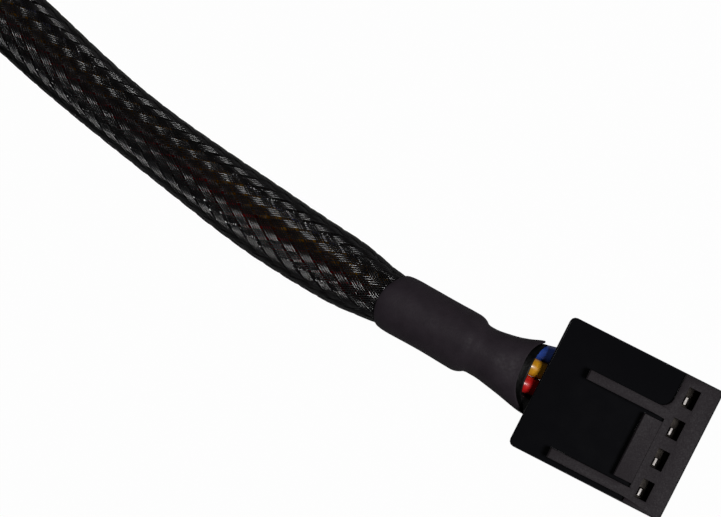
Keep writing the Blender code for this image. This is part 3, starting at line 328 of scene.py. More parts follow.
def branch_frame(branch, along):
    """A branch's middle and its ways across and up, by the distance past the fork's end. Before
    that the branch lies in the fork."""
    if along >= 0:
        return BRANCHES[branch].frame(along)
    here, across, up = TRUNK.frame(TRUNK.length + along)
    return here + across * SIDES[branch] * BRANCH_SPACING / 2, across, up


def branch_place(branch, along, across=0.0, up=0.0):
    """A point in a branch, by the same distance."""
    if along >= 0:
        return BRANCHES[branch].point(along, across, up)
    return TRUNK.point(TRUNK.length + along, across + SIDES[branch] * BRANCH_SPACING / 2, up)


def trunk_sleeve_radius(distance):
    """Of the trunk's braid, over its filaments."""
    swell = TRUNK.read(distance)[3] * eased((FORK_START - distance) / TRUNK_CLOSING)
    return SLEEVE_END_RADIUS + TRUNK_SWELL * swell


def branch_sleeve_radius(branch, along):
    last = branch_length(branch) - SHRINK_LENGTH
    swell = eased(along / BRANCH_OPENING) * eased((last - along) / BRANCH_CLOSING)
    return SLEEVE_END_RADIUS + BRANCH_SWELL * swell


# Wires


def fan_place(cord, colour, behind):
    """A wire's place across and up, at a distance behind the housing's rear face."""
    pin = COLOURS[colour]
    side, level = BUNDLE[cord][colour]
    if behind < 0:
        share = eased((behind + WELL_DEPTH) / WELL_DEPTH)
        return pin * (PIN_PITCH + (WIRE_PITCH - PIN_PITCH) * share), 0.0
    columns = (1, 2) if abs(pin) > 1 else (3, 4)
    across, up = (float(np.interp(behind, FAN[:, 0], FAN[:, column])) for column in columns)
    return side * WIRE_PITCH * across, level * WIRE_PITCH * up


def fan_distances(deepest):
    """How far behind a rear face a wire bends, from its end in the barrel to the bundle."""
    return [deepest, *spaced(-WELL_DEPTH, 0.0, WELL_DEPTH / 3), *FAN[1:, 0]]


def turned(across, up, turn):
    """A place in the bundle once the bundle has turned about its middle."""
    return (
        across * math.cos(turn) - up * math.sin(turn),
        across * math.sin(turn) + up * math.cos(turn),
    )


def bundle_lift(distance):
    """How far the wires press up against the braid where it is swollen, in the shown stretch."""
    swell = TRUNK.read(distance)[3]
    return PRESS_HEIGHT * swell * eased((PRESS_END - distance) / PRESS_END_LENGTH)


def trunk_wire_points(colour, fork_places):
    """From the crimp barrel in the plug, through the trunk, to the places in the fork."""
    points = []
    for behind in fan_distances(-PLUG_WIRE_DEPTH):
        points.append(TRUNK.point(TRUNK_REAR + behind, *fan_place("trunk", colour, behind)))
    across, up = (step * WIRE_PITCH / 2 for step in BUNDLE["trunk"][colour])
    start = TRUNK_REAR + SHRINK_LENGTH
    for distance in spaced(TRUNK_REAR + FAN_END + PAST_FAN, TRUNK_SLEEVE_END, TRUNK_WIRE_STEP):
        sway = SWAY_ANGLE * eased((distance - start) / SWAY_START_LENGTH)
        sway *= eased((FORK_START - distance) / SWAY_START_LENGTH)
        aside, above = turned(across, up, sway * math.sin((distance - start) / SWAY_WAVE))
        points.append(TRUNK.point(distance, aside, above + bundle_lift(distance)))
    return points + [TRUNK.point(FORK_START + at, *place) for at, *place in fork_places]


def bundle_turn(branch, along):
    """Branch B's bundle turns half round on its way, so that its wires meet their pins."""
    if branch == "a":
        return 0.0
    return math.pi * (1 - eased((along - TURN_START) / (branch_length(branch) - TURN_REST)))


def branch_wire_points(branch, colour, fork_places):
    """From the places in the fork, through the branch, to the crimp barrel in the housing."""
    points = [TRUNK.point(FORK_START + at, *place) for at, *place in fork_places]
    across, up = (step * WIRE_PITCH / 2 for step in BUNDLE[branch][colour])
    length = branch_length(branch)
    for along in spaced(-FORK_GRIP, length - FAN_END - PAST_FAN, BRANCH_WIRE_STEP):
        place = turned(across, up, bundle_turn(branch, along))
        points.append(branch_place(branch, along, *place))
    for behind in reversed(fan_distances(-SOCKET_WIRE_DEPTH)):
        place = fan_place(branch, colour, behind)
        points.append(branch_place(branch, length - behind, *place))
    return points


# The fork's inside: distance from its start, then each wire's place across and up

SPLICE_RADIUS = SPLICE_DIAMETER / 2
HALF_PITCH = WIRE_PITCH / 2
BESIDE_SPLICE = SPLICE_RADIUS + WIRE_PITCH - WIRE_RADIUS
PAST_SPLICE = BESIDE_SPLICE + 0.00022
SPLICE_LEVEL = SPLICE_RADIUS + SPLICE_GAP
WIRE_STUB = 0.0005
FIRST_SPLICE = FORK_GRIP + 0.0032
FIRST_END = FIRST_SPLICE + SPLICE_LENGTH
SECOND_SPLICE = FIRST_END + 0.0022
SECOND_END = SECOND_SPLICE + SPLICE_LENGTH
BRANCH_ENTRY = FORK_LENGTH - FORK_GRIP

# Where the wires bend on their way past the splices
PAST_GRIP = FORK_GRIP + 0.0013
FIRST_BEND, SECOND_BEND = FIRST_SPLICE - 0.0002, FIRST_END + 0.0002
THIRD_BEND, FOURTH_BEND = SECOND_SPLICE - 0.0004, SECOND_END + 0.0002
SPREADING = SECOND_END + 0.0021


def into_second_splice(level):
    """For a trunk wire that passes the first splice and ends in the upper (+1) or lower (-1) one
    of the pair behind it."""
    return [
        (FIRST_BEND, -0.0002, level * BESIDE_SPLICE),
        (SECOND_BEND, 0.0, level * BESIDE_SPLICE),
        (SECOND_SPLICE - WIRE_STUB, 0.0, level * SPLICE_LEVEL),
        (SECOND_SPLICE - SPLICE_GAP, 0.0, level * SPLICE_LEVEL),
    ]


def out_of_splice(end, level):
    return [(end + SPLICE_GAP, HALF_PITCH, level), (end + WIRE_STUB, HALF_PITCH, level)]


TRUNK_FORK_PLACES = {
    "blue": [
        (PAST_GRIP, 0.00055, -0.00035),
        (FIRST_SPLICE - WIRE_STUB, 0.0, 0.0),
        (FIRST_SPLICE - SPLICE_GAP, 0.0, 0.0),
    ],
    "red": [(PAST_GRIP, -0.00055, 0.00115), *into_second_splice(1)],
    "black": [(PAST_GRIP, -0.00062, -0.00120), *into_second_splice(-1)],
}
YELLOW_FORK_PLACES = [
    (PAST_GRIP, 0.00125, 0.00092),
    (FIRST_BEND, BESIDE_SPLICE + 0.00010, 0.00050),
    (SECOND_BEND, BESIDE_SPLICE + 0.00055, 0.00060),
    (THIRD_BEND, PAST_SPLICE + 0.00158, 0.00010),
    (FOURTH_BEND, PAST_SPLICE + 0.00158, 0.00010),
    (SPREADING, 0.00325, -0.00080),
]
# Those of branch A. Branch B's are their mirror image across
BRANCH_FORK_PLACES = {
    "blue": [
        *out_of_splice(FIRST_END, 0.0),
        (THIRD_BEND, PAST_SPLICE, 0.0),
        (FOURTH_BEND, PAST_SPLICE, 0.0),
        (SPREADING, 0.00230, 0.00045),
    ],
    "red": [*out_of_splice(SECOND_END, SPLICE_LEVEL), (SPREADING, 0.00095, 0.00095)],
    "black": [*out_of_splice(SECOND_END, -SPLICE_LEVEL), (SPREADING, 0.00120, -0.00085)],
}


# Mesh making


def mesh_from_rings(name, rings, closed_ends):
    """A skin over rings of points: an array of strands, rings, points round and three numbers."""
    strands, count, round_, _ = rings.shape
    index = np.arange(strands * count * round_).reshape(strands, count, round_)
    beside = np.roll(index, -1, axis=2)
    quads = np.stack(
        [index[:, :-1], beside[:, :-1], beside[:, 1:], index[:, 1:]], axis=-1
    ).reshape(-1, 4)
    faces = quads.tolist()
    if closed_ends:
        faces += index[:, 0, ::-1].tolist()
        faces += index[:, -1].tolist()
    mesh = bpy.data.meshes.new(name)
    mesh.from_pydata(rings.reshape(-1, 3).tolist(), [], faces)
    mesh.update()
    return mesh


def rings_round(paths, away, radius, corners):
    """Sections round strands. The paths are an array of strands, points and three numbers. The
    corners are angles, measured from across a strand towards the way given as away."""
    tangents = np.gradient(paths, axis=1)
    tangents /= np.linalg.norm(tangents, axis=2, keepdims=True)
    across = np.cross(tangents, away)
    across /= np.linalg.norm(across, axis=2, keepdims=True)
    up = np.cross(across, tangents)
    turn = np.array(corners)[:, None]
    return paths[:, :, None] + radius * (
        across[:, :, None] * np.cos(turn) + up[:, :, None] * np.sin(turn)
    )


def link(name, mesh, material):
    """A new, smooth piece of the object that rides with it."""
    made = bpy.data.objects.new(name, mesh)
    bpy.context.scene.collection.objects.link(made)
    mesh.materials.append(material)
    mesh.shade_smooth()
    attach(made, "root")
    return made


def only(thing):
    """Selects this object alone, for the operators."""
    bpy.ops.object.select_all(action="DESELECT")
    thing.select_set(True)
    bpy.context.view_layer.objects.active = thing


def apply_modifiers(thing):
    only(thing)
    for modifier in list(thing.modifiers):
        bpy.ops.object.modifier_apply(modifier=modifier.name)


def round_edges(thing, width, segments, angle):
    """A bevel on the edges that are sharper than the angle."""
    bevel = thing.modifiers.new("rounding", "BEVEL")
    bevel.width = width
    bevel.segments = segments
    bevel.limit_method = "ANGLE"
    bevel.angle_limit = angle
    return bevel


def face_outwards(thing):
    only(thing)
    bpy.ops.object.mode_set(mode="EDIT")
    bpy.ops.mesh.select_all(action="SELECT")
    bpy.ops.mesh.normals_make_consistent(inside=False)
    bpy.ops.object.mode_set(mode="OBJECT")


# Braids

TRUNK_CARRIERS = 36
# Turns the weave round the cable, so that a row of floats lies where the picture has one
BRAID_PHASE = math.radians(-8.25)
# A filament is three-sided, with one corner pointing away from the cable's middle
FILAMENT_CORNERS = np.radians([90.0, 210.0, 330.0])
# How unevenly the filaments lie: a carrier drifts and a filament strays by a share of the space
# between carriers, and a filament stands out by a length
DRIFT_SHARE = 0.028
DRIFT_WAVE = 0.0037
STRAY_SHARE = 0.010
UNEVEN_HEIGHT = 0.000006
# From one section to the next: inside the heat shrink, in the shown stretch and elsewhere
HIDDEN_STEP = 0.0012
SHOWN_STEP = 0.00026
TRUNK_STEP = 0.00050
BRANCH_STEP = 0.00052
# The shown stretch starts this far inside the heat shrink, and ends this far behind the housing
SHOWN_EARLY = 0.001
SHOWN_LENGTH = 0.0515
# A braid's ends lie this far inside the solid sleeve's
BRAID_SETBACK = 0.0002


def route_arrays(read, distances):
    """The places, sideways ways and upward ways of a cable's middle line, as arrays."""
    frames = [read(distance) for distance in distances]
    return [np.array([frame[i] for frame in frames]) for i in range(3)]


def filament_paths(frames, distances, radii, settings, carriers, way):
    """The filaments that wind one way: each carrier goes over two and under two of the others."""
    centre, across, up = frames
    distances = np.array(distances)
    radii = np.array(radii)
    sector = 2 * math.pi / (carriers / 2)
    winding = 2 * math.pi / settings.braid_turn * (TRUNK_CARRIERS / carriers)
    slope = np.cos(np.arctan(radii * winding))
    spread = np.arange(settings.filaments) - (settings.filaments - 1) / 2
    spread = spread * settings.filament_spacing
    number = np.arange(carriers // 2)[:, None, None]
    rng = np.random.default_rng(11 + way)
    shift = spread[None, :, None] / (radii * slope)[None, None]
    drift = rng.normal(0.0, DRIFT_SHARE, (carriers // 2, 1, 1)) * np.sin(
        distances / DRIFT_WAVE + rng.uniform(0.0, 6.28, (carriers // 2, 1, 1))
    )
    stray = rng.normal(0.0, STRAY_SHARE, (carriers // 2, settings.filaments, 1))
    angle = number * sector + way * winding * distances + shift + (drift + stray) * sector
    place = number + (angle + way * winding * distances) / sector
    wave = np.clip(settings.float_crown * np.cos(math.pi / 2 * (place - 0.5)), -1.0, 1.0)
    radius = radii - settings.filament_diameter / 2 - settings.weave_depth * (1 - way * wave)
    radius = radius + rng.normal(0.0, UNEVEN_HEIGHT, stray.shape)
    angle = angle + BRAID_PHASE
    point = (
        centre
        + (radius * np.cos(angle))[..., None] * across
        + (radius * np.sin(angle))[..., None] * up
    )
    return point.reshape(-1, len(distances), 3)


def braid(name, frames, distances, radii, settings, carriers, ways, material):
    """One piece with the filaments that wind these ways."""
    paths = np.concatenate(
        [filament_paths(frames, distances, radii, settings, carriers, way) for way in ways]
    )
    radius = settings.filament_diameter / 2
    rings = rings_round(paths, paths - frames[0], radius, FILAMENT_CORNERS)
    return link(name, mesh_from_rings(name, rings, True), material)


# Heat shrinks

# A housing's heat shrink: distance behind the rear face, half gap between its round sides, outer
# radius, and how much of the dip and of the skew shows there
MOUTH_SHAPE = [
    (0.00050, 0.001255, 0.001640, 1.00, 1.00),
    (0.00085, 0.001200, 0.001640, 0.82, 0.82),
    (0.00130, 0.001080, 0.001645, 0.60, 0.60),
    (0.00200, 0.000820, 0.001700, 0.28, 0.28),
    (0.00280, 0.000520, 0.001810, 0.06, 0.06),
    (0.00380, 0.000190, 0.001960, 0.0, 0.0),
    (0.00490, 0.000020, 0.001985, 0.0, 0.0),
    (0.00540, 0.000000, 0.002010, 0.0, 0.0),
    (0.00585, 0.000000, 0.002260, 0.0, 0.0),
    (0.00640, 0.000000, 0.002370, 0.0, 0.0),
    (0.00800, 0.000000, 0.002345, 0.10, -0.05),
    (0.01180, 0.000000, 0.002370, 0.62, -0.32),
    (0.01230, 0.000000, 0.002350, 0.70, -0.36),
    (0.01270, 0.000000, 0.002290, 0.75, -0.39),
    (SHRINK_LENGTH, 0.000000, 0.002230, 0.78, -0.40),
]
# The dark lining that shows inside its mouth. It is near-black, so that it is also painted shade
# under the rim
LINING_SHAPE = [
    (0.00042, 0.001262, 0.001450, 0.54, 0.50),
    (0.00090, 0.001170, 0.001450, 0.40, 0.45),
    (0.00160, 0.000950, 0.001480, 0.20, 0.30),
    (0.00300, 0.000450, 0.001650, 0.0, 0.04),
]
MOUTH_DIP = 0.00115
MOUTH_SKEW = 0.00040
DIP_POWER = 1.6
FLAT_POWER = 0.45
SHRINK_WALL = 0.00017
LINING_WALL = 0.00011
RIM_ROUNDING = 0.00005
RIM_ANGLE = math.radians(60)
BROAD_CRUMPLE = 0.000016
FINE_CRUMPLE = 0.000007
SHRINK_SIDES = 56
MOUTH_STEP = 0.00022
FORK_STEP = 0.0004

# The fork's heat shrink: distance from its start, then the half gap and outer radius
FORK_SHAPE = [
    (0.0, 0.0, 0.002360),
    (0.0025, 0.0, 0.002385),
    (FORK_GRIP, 0.0, 0.002370),
    (FIRST_SPLICE - 0.0010, 0.00045, 0.002750),
    (FIRST_SPLICE, 0.00070, 0.002790),
    (FIRST_END, 0.00140, 0.002780),
    (SECOND_SPLICE, 0.00195, 0.002670),
    (SECOND_END, 0.00225, 0.002430),
    (BRANCH_ENTRY, BRANCH_SPACING / 2, 0.002370),
    (FORK_LENGTH - 0.0025, BRANCH_SPACING / 2, 0.002385),
    (FORK_LENGTH, BRANCH_SPACING / 2, 0.002360),
]


def smooth_columns(rows, at):
    """The values of a table at new places, along smooth curves that don't overshoot its rows."""
    table = np.array(rows)
    x, values = table[:, 0], table[:, 1:]
    slope = np.diff(values, axis=0) / np.diff(x)[:, None]
    before, after = slope[:-1], slope[1:]
    same = before * after > 0
    with np.errstate(divide="ignore", invalid="ignore"):
        middle = np.where(same, 2 * before * after / (before + after), 0.0)
    tangent = np.concatenate([slope[:1], middle, slope[-1:]])
    i = np.clip(np.searchsorted(x, at, side="right") - 1, 0, len(x) - 2)
    span = (x[i + 1] - x[i])[:, None]
    t = (at - x[i])[:, None] / span
    return (
        (2 * t**3 - 3 * t**2 + 1) * values[i]
        + (t**3 - 2 * t**2 + t) * span * tangent[i]
        + (3 * t**2 - 2 * t**3) * values[i + 1]
        + (t**3 - t**2) * span * tangent[i + 1]
    )


def crumple(point, seed):
    """A small push in or out, as in sleeving that has shrunk unevenly: waves about 5 mm long, and
    fine ones about 2 mm long."""
    x, y, z = point
    broad = math.sin(x * 1150 + seed) * math.sin(y * 1430 + 2 * seed) + math.sin(z * 1700 + x * 640)
    fine = math.sin(x * 3900 + y * 2700 + seed) * math.sin(z * 4300 - y * 1900)
    return broad * BROAD_CRUMPLE + fine * FINE_CRUMPLE


def shrink_tube(name, point_at, rows, step, material, seed, wall=SHRINK_WALL):
    """Heat shrink over a table of oval sections, with its wall inwards and its rims rounded."""
    at = np.array(spaced(rows[0][0], rows[-1][0], step))
    rings = []
    for distance, (gap, radius, *shares) in zip(at, smooth_columns(rows, at)):
        ring = []
        for i in range(SHRINK_SIDES):
            angle = 2 * math.pi * (i + 0.5) / SHRINK_SIDES
            # Drawn apart sideways, with the two round sides joined by an eased flat
            across = radius * math.cos(angle) + gap * math.copysign(
                abs(math.cos(angle)) ** FLAT_POWER, math.cos(angle)
            )
            up = radius * math.sin(angle)
            dip = 0.0
            if shares:
                dip = shares[0] * MOUTH_DIP * abs(math.sin(angle)) ** DIP_POWER
                dip += shares[1] * MOUTH_SKEW * math.cos(angle)
            point = point_at(distance + dip, across, up)
            middle = point_at(distance + dip, 0.0, 0.0)
            out = (point - middle).normalized()
            ring.append(list(point + out * crumple(point, seed)))
        rings.append(ring)
    thing = link(name, mesh_from_rings(name, np.array([rings]), False), material)
    face_outwards(thing)
    solid = thing.modifiers.new("wall", "SOLIDIFY")
    solid.thickness = wall
    solid.offset = -1.0
    solid.use_even_offset = True
    round_edges(thing, RIM_ROUNDING, 2, RIM_ANGLE)
    apply_modifiers(thing)
    thing.data.shade_smooth()
    return thing


# Moulded and metal parts, from the model's own solids

MERGE_DISTANCE = 0.000002
FLAT_ANGLE = math.radians(2)
SHARP_ANGLE = math.radians(38)
SMOOTH_ANGLE = math.radians(35)
HOUSING_ROUNDING = 0.00007
TIE_ROUNDING = 0.00008
METAL_ROUNDING = 0.00003


def finished_copy(node, name, material, rounding, segments=2):
    """A copy of a solid with its triangles merged into whole faces and its edges eased."""
    mesh = bpy.data.objects[node].data.copy()
    mesh.name = name
    mesh.materials.clear()
    thing = link(name, mesh, material)
    only(thing)
    bpy.ops.object.mode_set(mode="EDIT")
    bpy.ops.mesh.select_all(action="SELECT")
    bpy.ops.mesh.remove_doubles(threshold=MERGE_DISTANCE)
    bpy.ops.mesh.dissolve_limited(angle_limit=FLAT_ANGLE)
    bpy.ops.mesh.normals_make_consistent(inside=False)
    bpy.ops.object.mode_set(mode="OBJECT")
    bevel = round_edges(thing, rounding, segments, SHARP_ANGLE)
    bevel.use_clamp_overlap = True
    bevel.harden_normals = True
    apply_modifiers(thing)
    only(thing)
    bpy.ops.object.shade_smooth_by_angle(angle=SMOOTH_ANGLE)
    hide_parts(node)
    return thing


# Materials

# The part of a noise's range that its clouds use
CLOUDS = (0.3, 0.7)
WHITE = (1.0, 1.0, 1.0, 1.0)
# Above the plug's flat top, the heights at which the grain begins and is full
GRAIN_HEIGHTS = (PLUG_BODY_TOP + 0.00003, PLUG_BODY_TOP + 0.00009)
FLOOR_GREY = (0.30, 0.30, 0.30)
FLOOR_GLOW_SEEN = 0.98
FLOOR_GLOW_MIRRORED = 0.06


class Finish:
    """A material, and the nodes that give it grain, wear and relief."""

    def __init__(self, name, colour, roughness, metallic=0.0):
        self.material = bpy.data.materials.new(name)
        self.material.use_nodes = True
        self.nodes = self.material.node_tree.nodes
        self.links = self.material.node_tree.links
        self.shader = self.nodes["Principled BSDF"]
        self.place = self.nodes.new("ShaderNodeTexCoord").outputs["Object"]
        self.set("Base Color", (*colour, 1.0))
        self.set("Roughness", roughness)
        self.set("Metallic", metallic)

    def set(self, socket, value):
        self.shader.inputs[socket].default_value = value

    def noise(self, size, detail=3.0):
        """Noise with lumps about this wide."""
        made = self.nodes.new("ShaderNodeTexNoise")
        made.inputs["Scale"].default_value = 1.0 / size
        made.inputs["Detail"].default_value = detail
        self.links.new(self.place, made.inputs["Vector"])
        return made.outputs["Fac"]

    def between(self, value, low, high, from_=0.0, to=1.0):
        """Stretches a value's range from low to high onto another."""
        made = self.nodes.new("ShaderNodeMapRange")
        self.links.new(value, made.inputs["Value"])
        made.inputs["From Min"].default_value = low
        made.inputs["From Max"].default_value = high
        made.inputs["To Min"].default_value = from_
        made.inputs["To Max"].default_value = to
        return made.outputs["Result"]

    def clouds(self, size, low, high, detail=3.0):
        """Clouds about this wide, from one value to another."""
        return self.between(self.noise(size, detail), *CLOUDS, low, high)

    def height(self):
        split = self.nodes.new("ShaderNodeSeparateXYZ")
        self.links.new(self.place, split.inputs["Vector"])
        return split.outputs["Z"]

    def colours(self, value, first, second):
        made = self.nodes.new("ShaderNodeMix")
        made.data_type = "RGBA"
        self.links.new(value, made.inputs["Factor"])
        made.inputs["A"].default_value = (*first, 1.0)
        made.inputs["B"].default_value = (*second, 1.0)
        self.links.new(made.outputs["Result"], self.shader.inputs["Base Color"])
        return made

    def cloudy(self, size, first, second):
        """Clouds about this wide, from one colour to another."""
        return self.colours(self.clouds(size, 0.0, 1.0), first, second)

    def maths(self, operation, first, second):
        """Works on two values, each a number or another node's."""
        made = self.nodes.new("ShaderNodeMath")
        made.operation = operation
        for socket, value in zip(made.inputs, (first, second)):
            if isinstance(value, float):
                socket.default_value = value
            else:
                self.links.new(value, socket)
        return made.outputs["Value"]

    def times(self, first, second):
        return self.maths("MULTIPLY", first, second)

    def plus(self, first, second):
        return self.maths("ADD", first, second)

    def roughness(self, value):
        self.links.new(value, self.shader.inputs["Roughness"])

    def relief(self, value, depth):
        """Bumps this deep, in metres."""
        made = self.nodes.new("ShaderNodeBump")
        made.inputs["Distance"].default_value = depth
        self.links.new(value, made.inputs["Height"])
        self.links.new(made.outputs["Normal"], self.shader.inputs["Normal"])


def lighter(colour, times, plus):
    return [min(1.0, value * times + plus) for value in colour]


def moulded_plastic(settings):
    """Polished flats, with fine spark grain on what stands proud of the body."""
    finish = Finish("housing_plastic", settings.housing_colour, 0.2)
    raised = finish.between(finish.height(), *GRAIN_HEIGHTS)
    finish.colours(raised, settings.housing_colour, settings.grained_colour)
    polished = finish.clouds(0.0012, 0.12, 0.16, 2.0)
    grained = finish.clouds(0.00011, 0.44, 0.62)
    finish.roughness(finish.plus(polished, finish.times(raised, grained)))
    finish.set("Specular IOR Level", 0.22)
    grain = finish.noise(0.000085, 4.0)
    finish.relief(finish.plus(finish.times(grain, raised), finish.times(grain, 0.02)), 0.000022)
    return finish.material


def shrunk_sleeving(settings):
    """Dull polyolefin, a little uneven."""
    finish = Finish("heat_shrink", settings.shrink_colour, 0.6)
    finish.cloudy(0.0009, settings.shrink_colour, lighter(settings.shrink_colour, 1.2, 0.001))
    finish.roughness(finish.clouds(0.00025, 0.50, 0.68))
    finish.relief(finish.plus(finish.noise(0.00016), finish.noise(0.0006, 2.0)), 0.000016)
    finish.set("Specular IOR Level", 0.08)
    return finish.material


def hot_melt(settings):
    """The black lining that the heat shrink presses out at its mouth, uneven, slightly glossy. Its
    near-black colour is also painted shade inside the rim.
    """
    finish = Finish("hot_melt_lining_shade", settings.lining_shade_colour, 0.35)
    finish.cloudy(0.0006, settings.lining_shade_colour, lighter(settings.lining_shade_colour, 1.8, 0.001))
    finish.roughness(finish.clouds(0.0003, 0.30, 0.50))
    finish.relief(finish.noise(0.0003, 2.0), 0.00002)
    finish.set("Specular IOR Level", 0.06)
    return finish.material


def filament_plastic(settings):
    """Drawn polyester filament, glossy, a shade lighter here and there."""
    finish = Finish("braid_filament", settings.braid_colour, 0.22)
    patchy = finish.between(finish.noise(0.0008, 2.0), 0.35, 0.65)
    finish.colours(patchy, settings.braid_colour, lighter(settings.braid_colour, 1.8, 0.002))
    finish.roughness(finish.clouds(0.0003, 0.12, 0.20, 2.0))
    finish.set("IOR", 1.62)
    finish.set("Specular IOR Level", 0.44)
    return finish.material


def insulation(name, colour):
    """Smooth vinyl with slight drawing lines and handling marks. Deep in the braid and in the heat
    shrink's mouth its colour is darkened: painted shade.
    """
    finish = Finish("wire_" + name, colour, 0.3)
    unshaded = finish.cloudy(0.0011, [value * 0.72 for value in colour], colour)
    unshaded_share = finish.nodes.new("ShaderNodeAttribute")
    unshaded_share.attribute_name = UNSHADED_ATTRIBUTE
    # Painted shade: where a wire lies in shade, its colour drops to a quarter
    painted_shade_colour = [value * 0.25 for value in colour]
    dimmed = finish.colours(unshaded_share.outputs["Fac"], painted_shade_colour, colour)
    finish.links.new(unshaded.outputs["Result"], dimmed.inputs["B"])
    finish.roughness(finish.clouds(0.0004, 0.22, 0.40))
    finish.relief(finish.noise(0.00022, 2.0), 0.000007)
    finish.set("Coat Weight", 0.25)
    finish.set("Coat Roughness", 0.12)
    return finish.material


def tinned_metal():
    """Tin plate over stamped bronze: bright, with a cloudy sheen and fine rolling marks."""
    finish = Finish("tinned_metal", (0.80, 0.78, 0.74), 0.25, 1.0)
    finish.cloudy(0.0007, (0.66, 0.63, 0.58), (0.86, 0.85, 0.82))
    finish.roughness(finish.clouds(0.00015, 0.18, 0.38))
    finish.relief(finish.noise(0.00008, 2.0), 0.000006)
    return finish.material


def cloudy_metal(name, first, second):
    """Metal with a cloudy colour and roughness. It makes the contacts' worn tin, and a near-black
    bronze that is painted shade where little light reaches.
    """
    finish = Finish(name, first, 0.5, 1.0)
    finish.cloudy(0.0004, first, second)
    finish.roughness(finish.clouds(0.0002, 0.40, 0.60))
    finish.relief(finish.noise(0.0001, 2.0), 0.000006)
    return finish.material


def strap_plastic(settings):
    """Satin nylon with a fine grain."""
    finish = Finish("tie_plastic", settings.tie_colour, 0.45)
    finish.cloudy(0.0015, settings.tie_colour, lighter(settings.tie_colour, 1.5, 0.003))
    finish.roughness(finish.clouds(0.0003, 0.36, 0.55))
    finish.relief(finish.noise(0.00012), 0.00001)
    return finish.material


def white_light(node, strength):
    node.inputs["Color"].default_value = WHITE
    node.inputs["Strength"].default_value = strength
    return node.outputs[0]


def show_mixed(tree, share, first, second, output):
    """Shows the first shader, and the second by its share."""
    mix = tree.nodes.new("ShaderNodeMixShader")
    tree.links.new(share, mix.inputs["Fac"])
    tree.links.new(first, mix.inputs[1])
    tree.links.new(second, mix.inputs[2])
    tree.links.new(mix.outputs["Shader"], tree.nodes[output].inputs["Surface"])


def floor_paint():
    """Paint that the camera sees as plain white. Reflections and glass see a little of it."""
    finish = Finish("white_floor", FLOOR_GREY, 0.9)
    finish.set("Specular IOR Level", 0.0)
    glow = white_light(finish.nodes.new("ShaderNodeEmission"), 1.0)
    rays = finish.nodes.new("ShaderNodeLightPath").outputs
    seen = finish.times(rays["Is Camera Ray"], FLOOR_GLOW_SEEN)
    for name in ("Is Glossy Ray", "Is Transmission Ray"):
        seen = finish.maths("MAXIMUM", seen, finish.times(rays[name], FLOOR_GLOW_MIRRORED))
    paint = finish.shader.outputs["BSDF"]
    show_mixed(finish.material.node_tree, seen, paint, glow, "Material Output")
    return finish.material


# Settings that a user would change


def count_setting(name, description, default, low, high):
    return bpy.props.IntProperty(
        name=name, description=description, default=default, min=low, max=high
    )


def length_setting(name, description, default):
    return bpy.props.FloatProperty(
        name=name, description=description, default=default, unit="LENGTH", precision=6
    )


def colour_setting(name, description, *default):
    return bpy.props.FloatVectorProperty(
        name=name, description=description, default=default, subtype="COLOR"
    )


def factor_setting(name, description, default):
    return bpy.props.FloatProperty(
        name=name, description=description, default=default, subtype="FACTOR"
    )


class FanCableSettings(bpy.types.PropertyGroup):
    filaments: count_setting("Filaments", "Parallel filaments in each carrier", 4, 1, 6)
    trunk_carriers: count_setting(
        "Trunk carriers", "Of the trunk's braid, in fours", TRUNK_CARRIERS, 16, 64
    )
    branch_carriers: count_setting("Branch carriers", "Of a branch's braid, in fours", 32, 16, 64)
    filament_diameter: length_setting("Filament", "Filament thickness", 0.000146)
    filament_spacing: length_setting("Spacing", "Between filaments in a carrier", 0.000168)
    weave_depth: length_setting("Weave depth", "Half of a carrier's dip under others", 0.000080)
    float_crown: bpy.props.FloatProperty(
        name="Float crown", description="Above 1, a carrier lies flat for longer", default=1.2
    )
    braid_turn: length_setting("Turn", "Length in which a trunk carrier turns once", 0.0286)
    braid_colour: colour_setting("Braid", "Filament colour", 0.0030, 0.0028, 0.0030)
    shrink_colour: colour_setting("Heat shrink", "Sleeving colour", 0.0175, 0.0135, 0.0172)
    # Near-black, so that the lining is also painted shade in the mouths
    lining_shade_colour: colour_setting("Lining", "In the heat shrinks' mouths", 0.0010, 0.0010, 0.0010)
    housing_colour: colour_setting("Housing", "Polished plastic", 0.0032, 0.0032, 0.004)
    grained_colour: colour_setting("Grained", "Grained plastic", 0.0110, 0.0078, 0.0100)
    tie_colour: colour_setting("Tie", "Strap colour", 0.012, 0.012, 0.013)
    black_wire: colour_setting("Black wire", "Ground wire", 0.010, 0.010, 0.011)
    red_wire: colour_setting("Red wire", "Supply wire", 0.62, 0.012, 0.012)
    yellow_wire: colour_setting("Yellow wire", "Speed wire", 0.80, 0.36, 0.015)
    blue_wire: colour_setting("Blue wire", "Control wire", 0.035, 0.10, 0.50)
    picture_width: length_setting("Picture width", "Across the aimed place", 0.0548)
    camera_distance: length_setting("Camera distance", "From the aimed place", 0.180)
    camera_tilt: bpy.props.FloatProperty(
        name="Camera tilt",
        description="Off straight down, towards the plug's front",
        default=math.radians(6.4),
        subtype="ANGLE",
    )
    light_level: factor_setting("Light level", "Share of the planned lamp power", 1.0)
    sky_level: factor_setting("Sky level", "Strength of the plain surround", 0.045)


def wire_colours(settings):
    return {
        "black": tuple(settings.black_wire),
        "red": tuple(settings.red_wire),
        "yellow": tuple(settings.yellow_wire),
        "blue": tuple(settings.blue_wire),
    }


# Operators

CAMERA_AIM = Vector((-0.0226, 0.0020, 0.0047))
PICTURE_RIGHT = Vector((0.8926, 0.4509, 0.0))
SENSOR_WIDTH = 36.0
NEAREST_SEEN = 0.005
FARTHEST_SEEN = 10.0
FLOOR_SIZE = 3.0
FLOOR_HEIGHT = -0.00002
LAMP_DISTANCE = 0.25
# Name, tilt off straight up towards the plug's front and sideways, long and short side, power
LAMPS = (
    ("front_box", 28, 2, 0.070, 0.062, 0.55),
    ("back_box", -38, 6, 0.040, 0.040, 0.03),
)


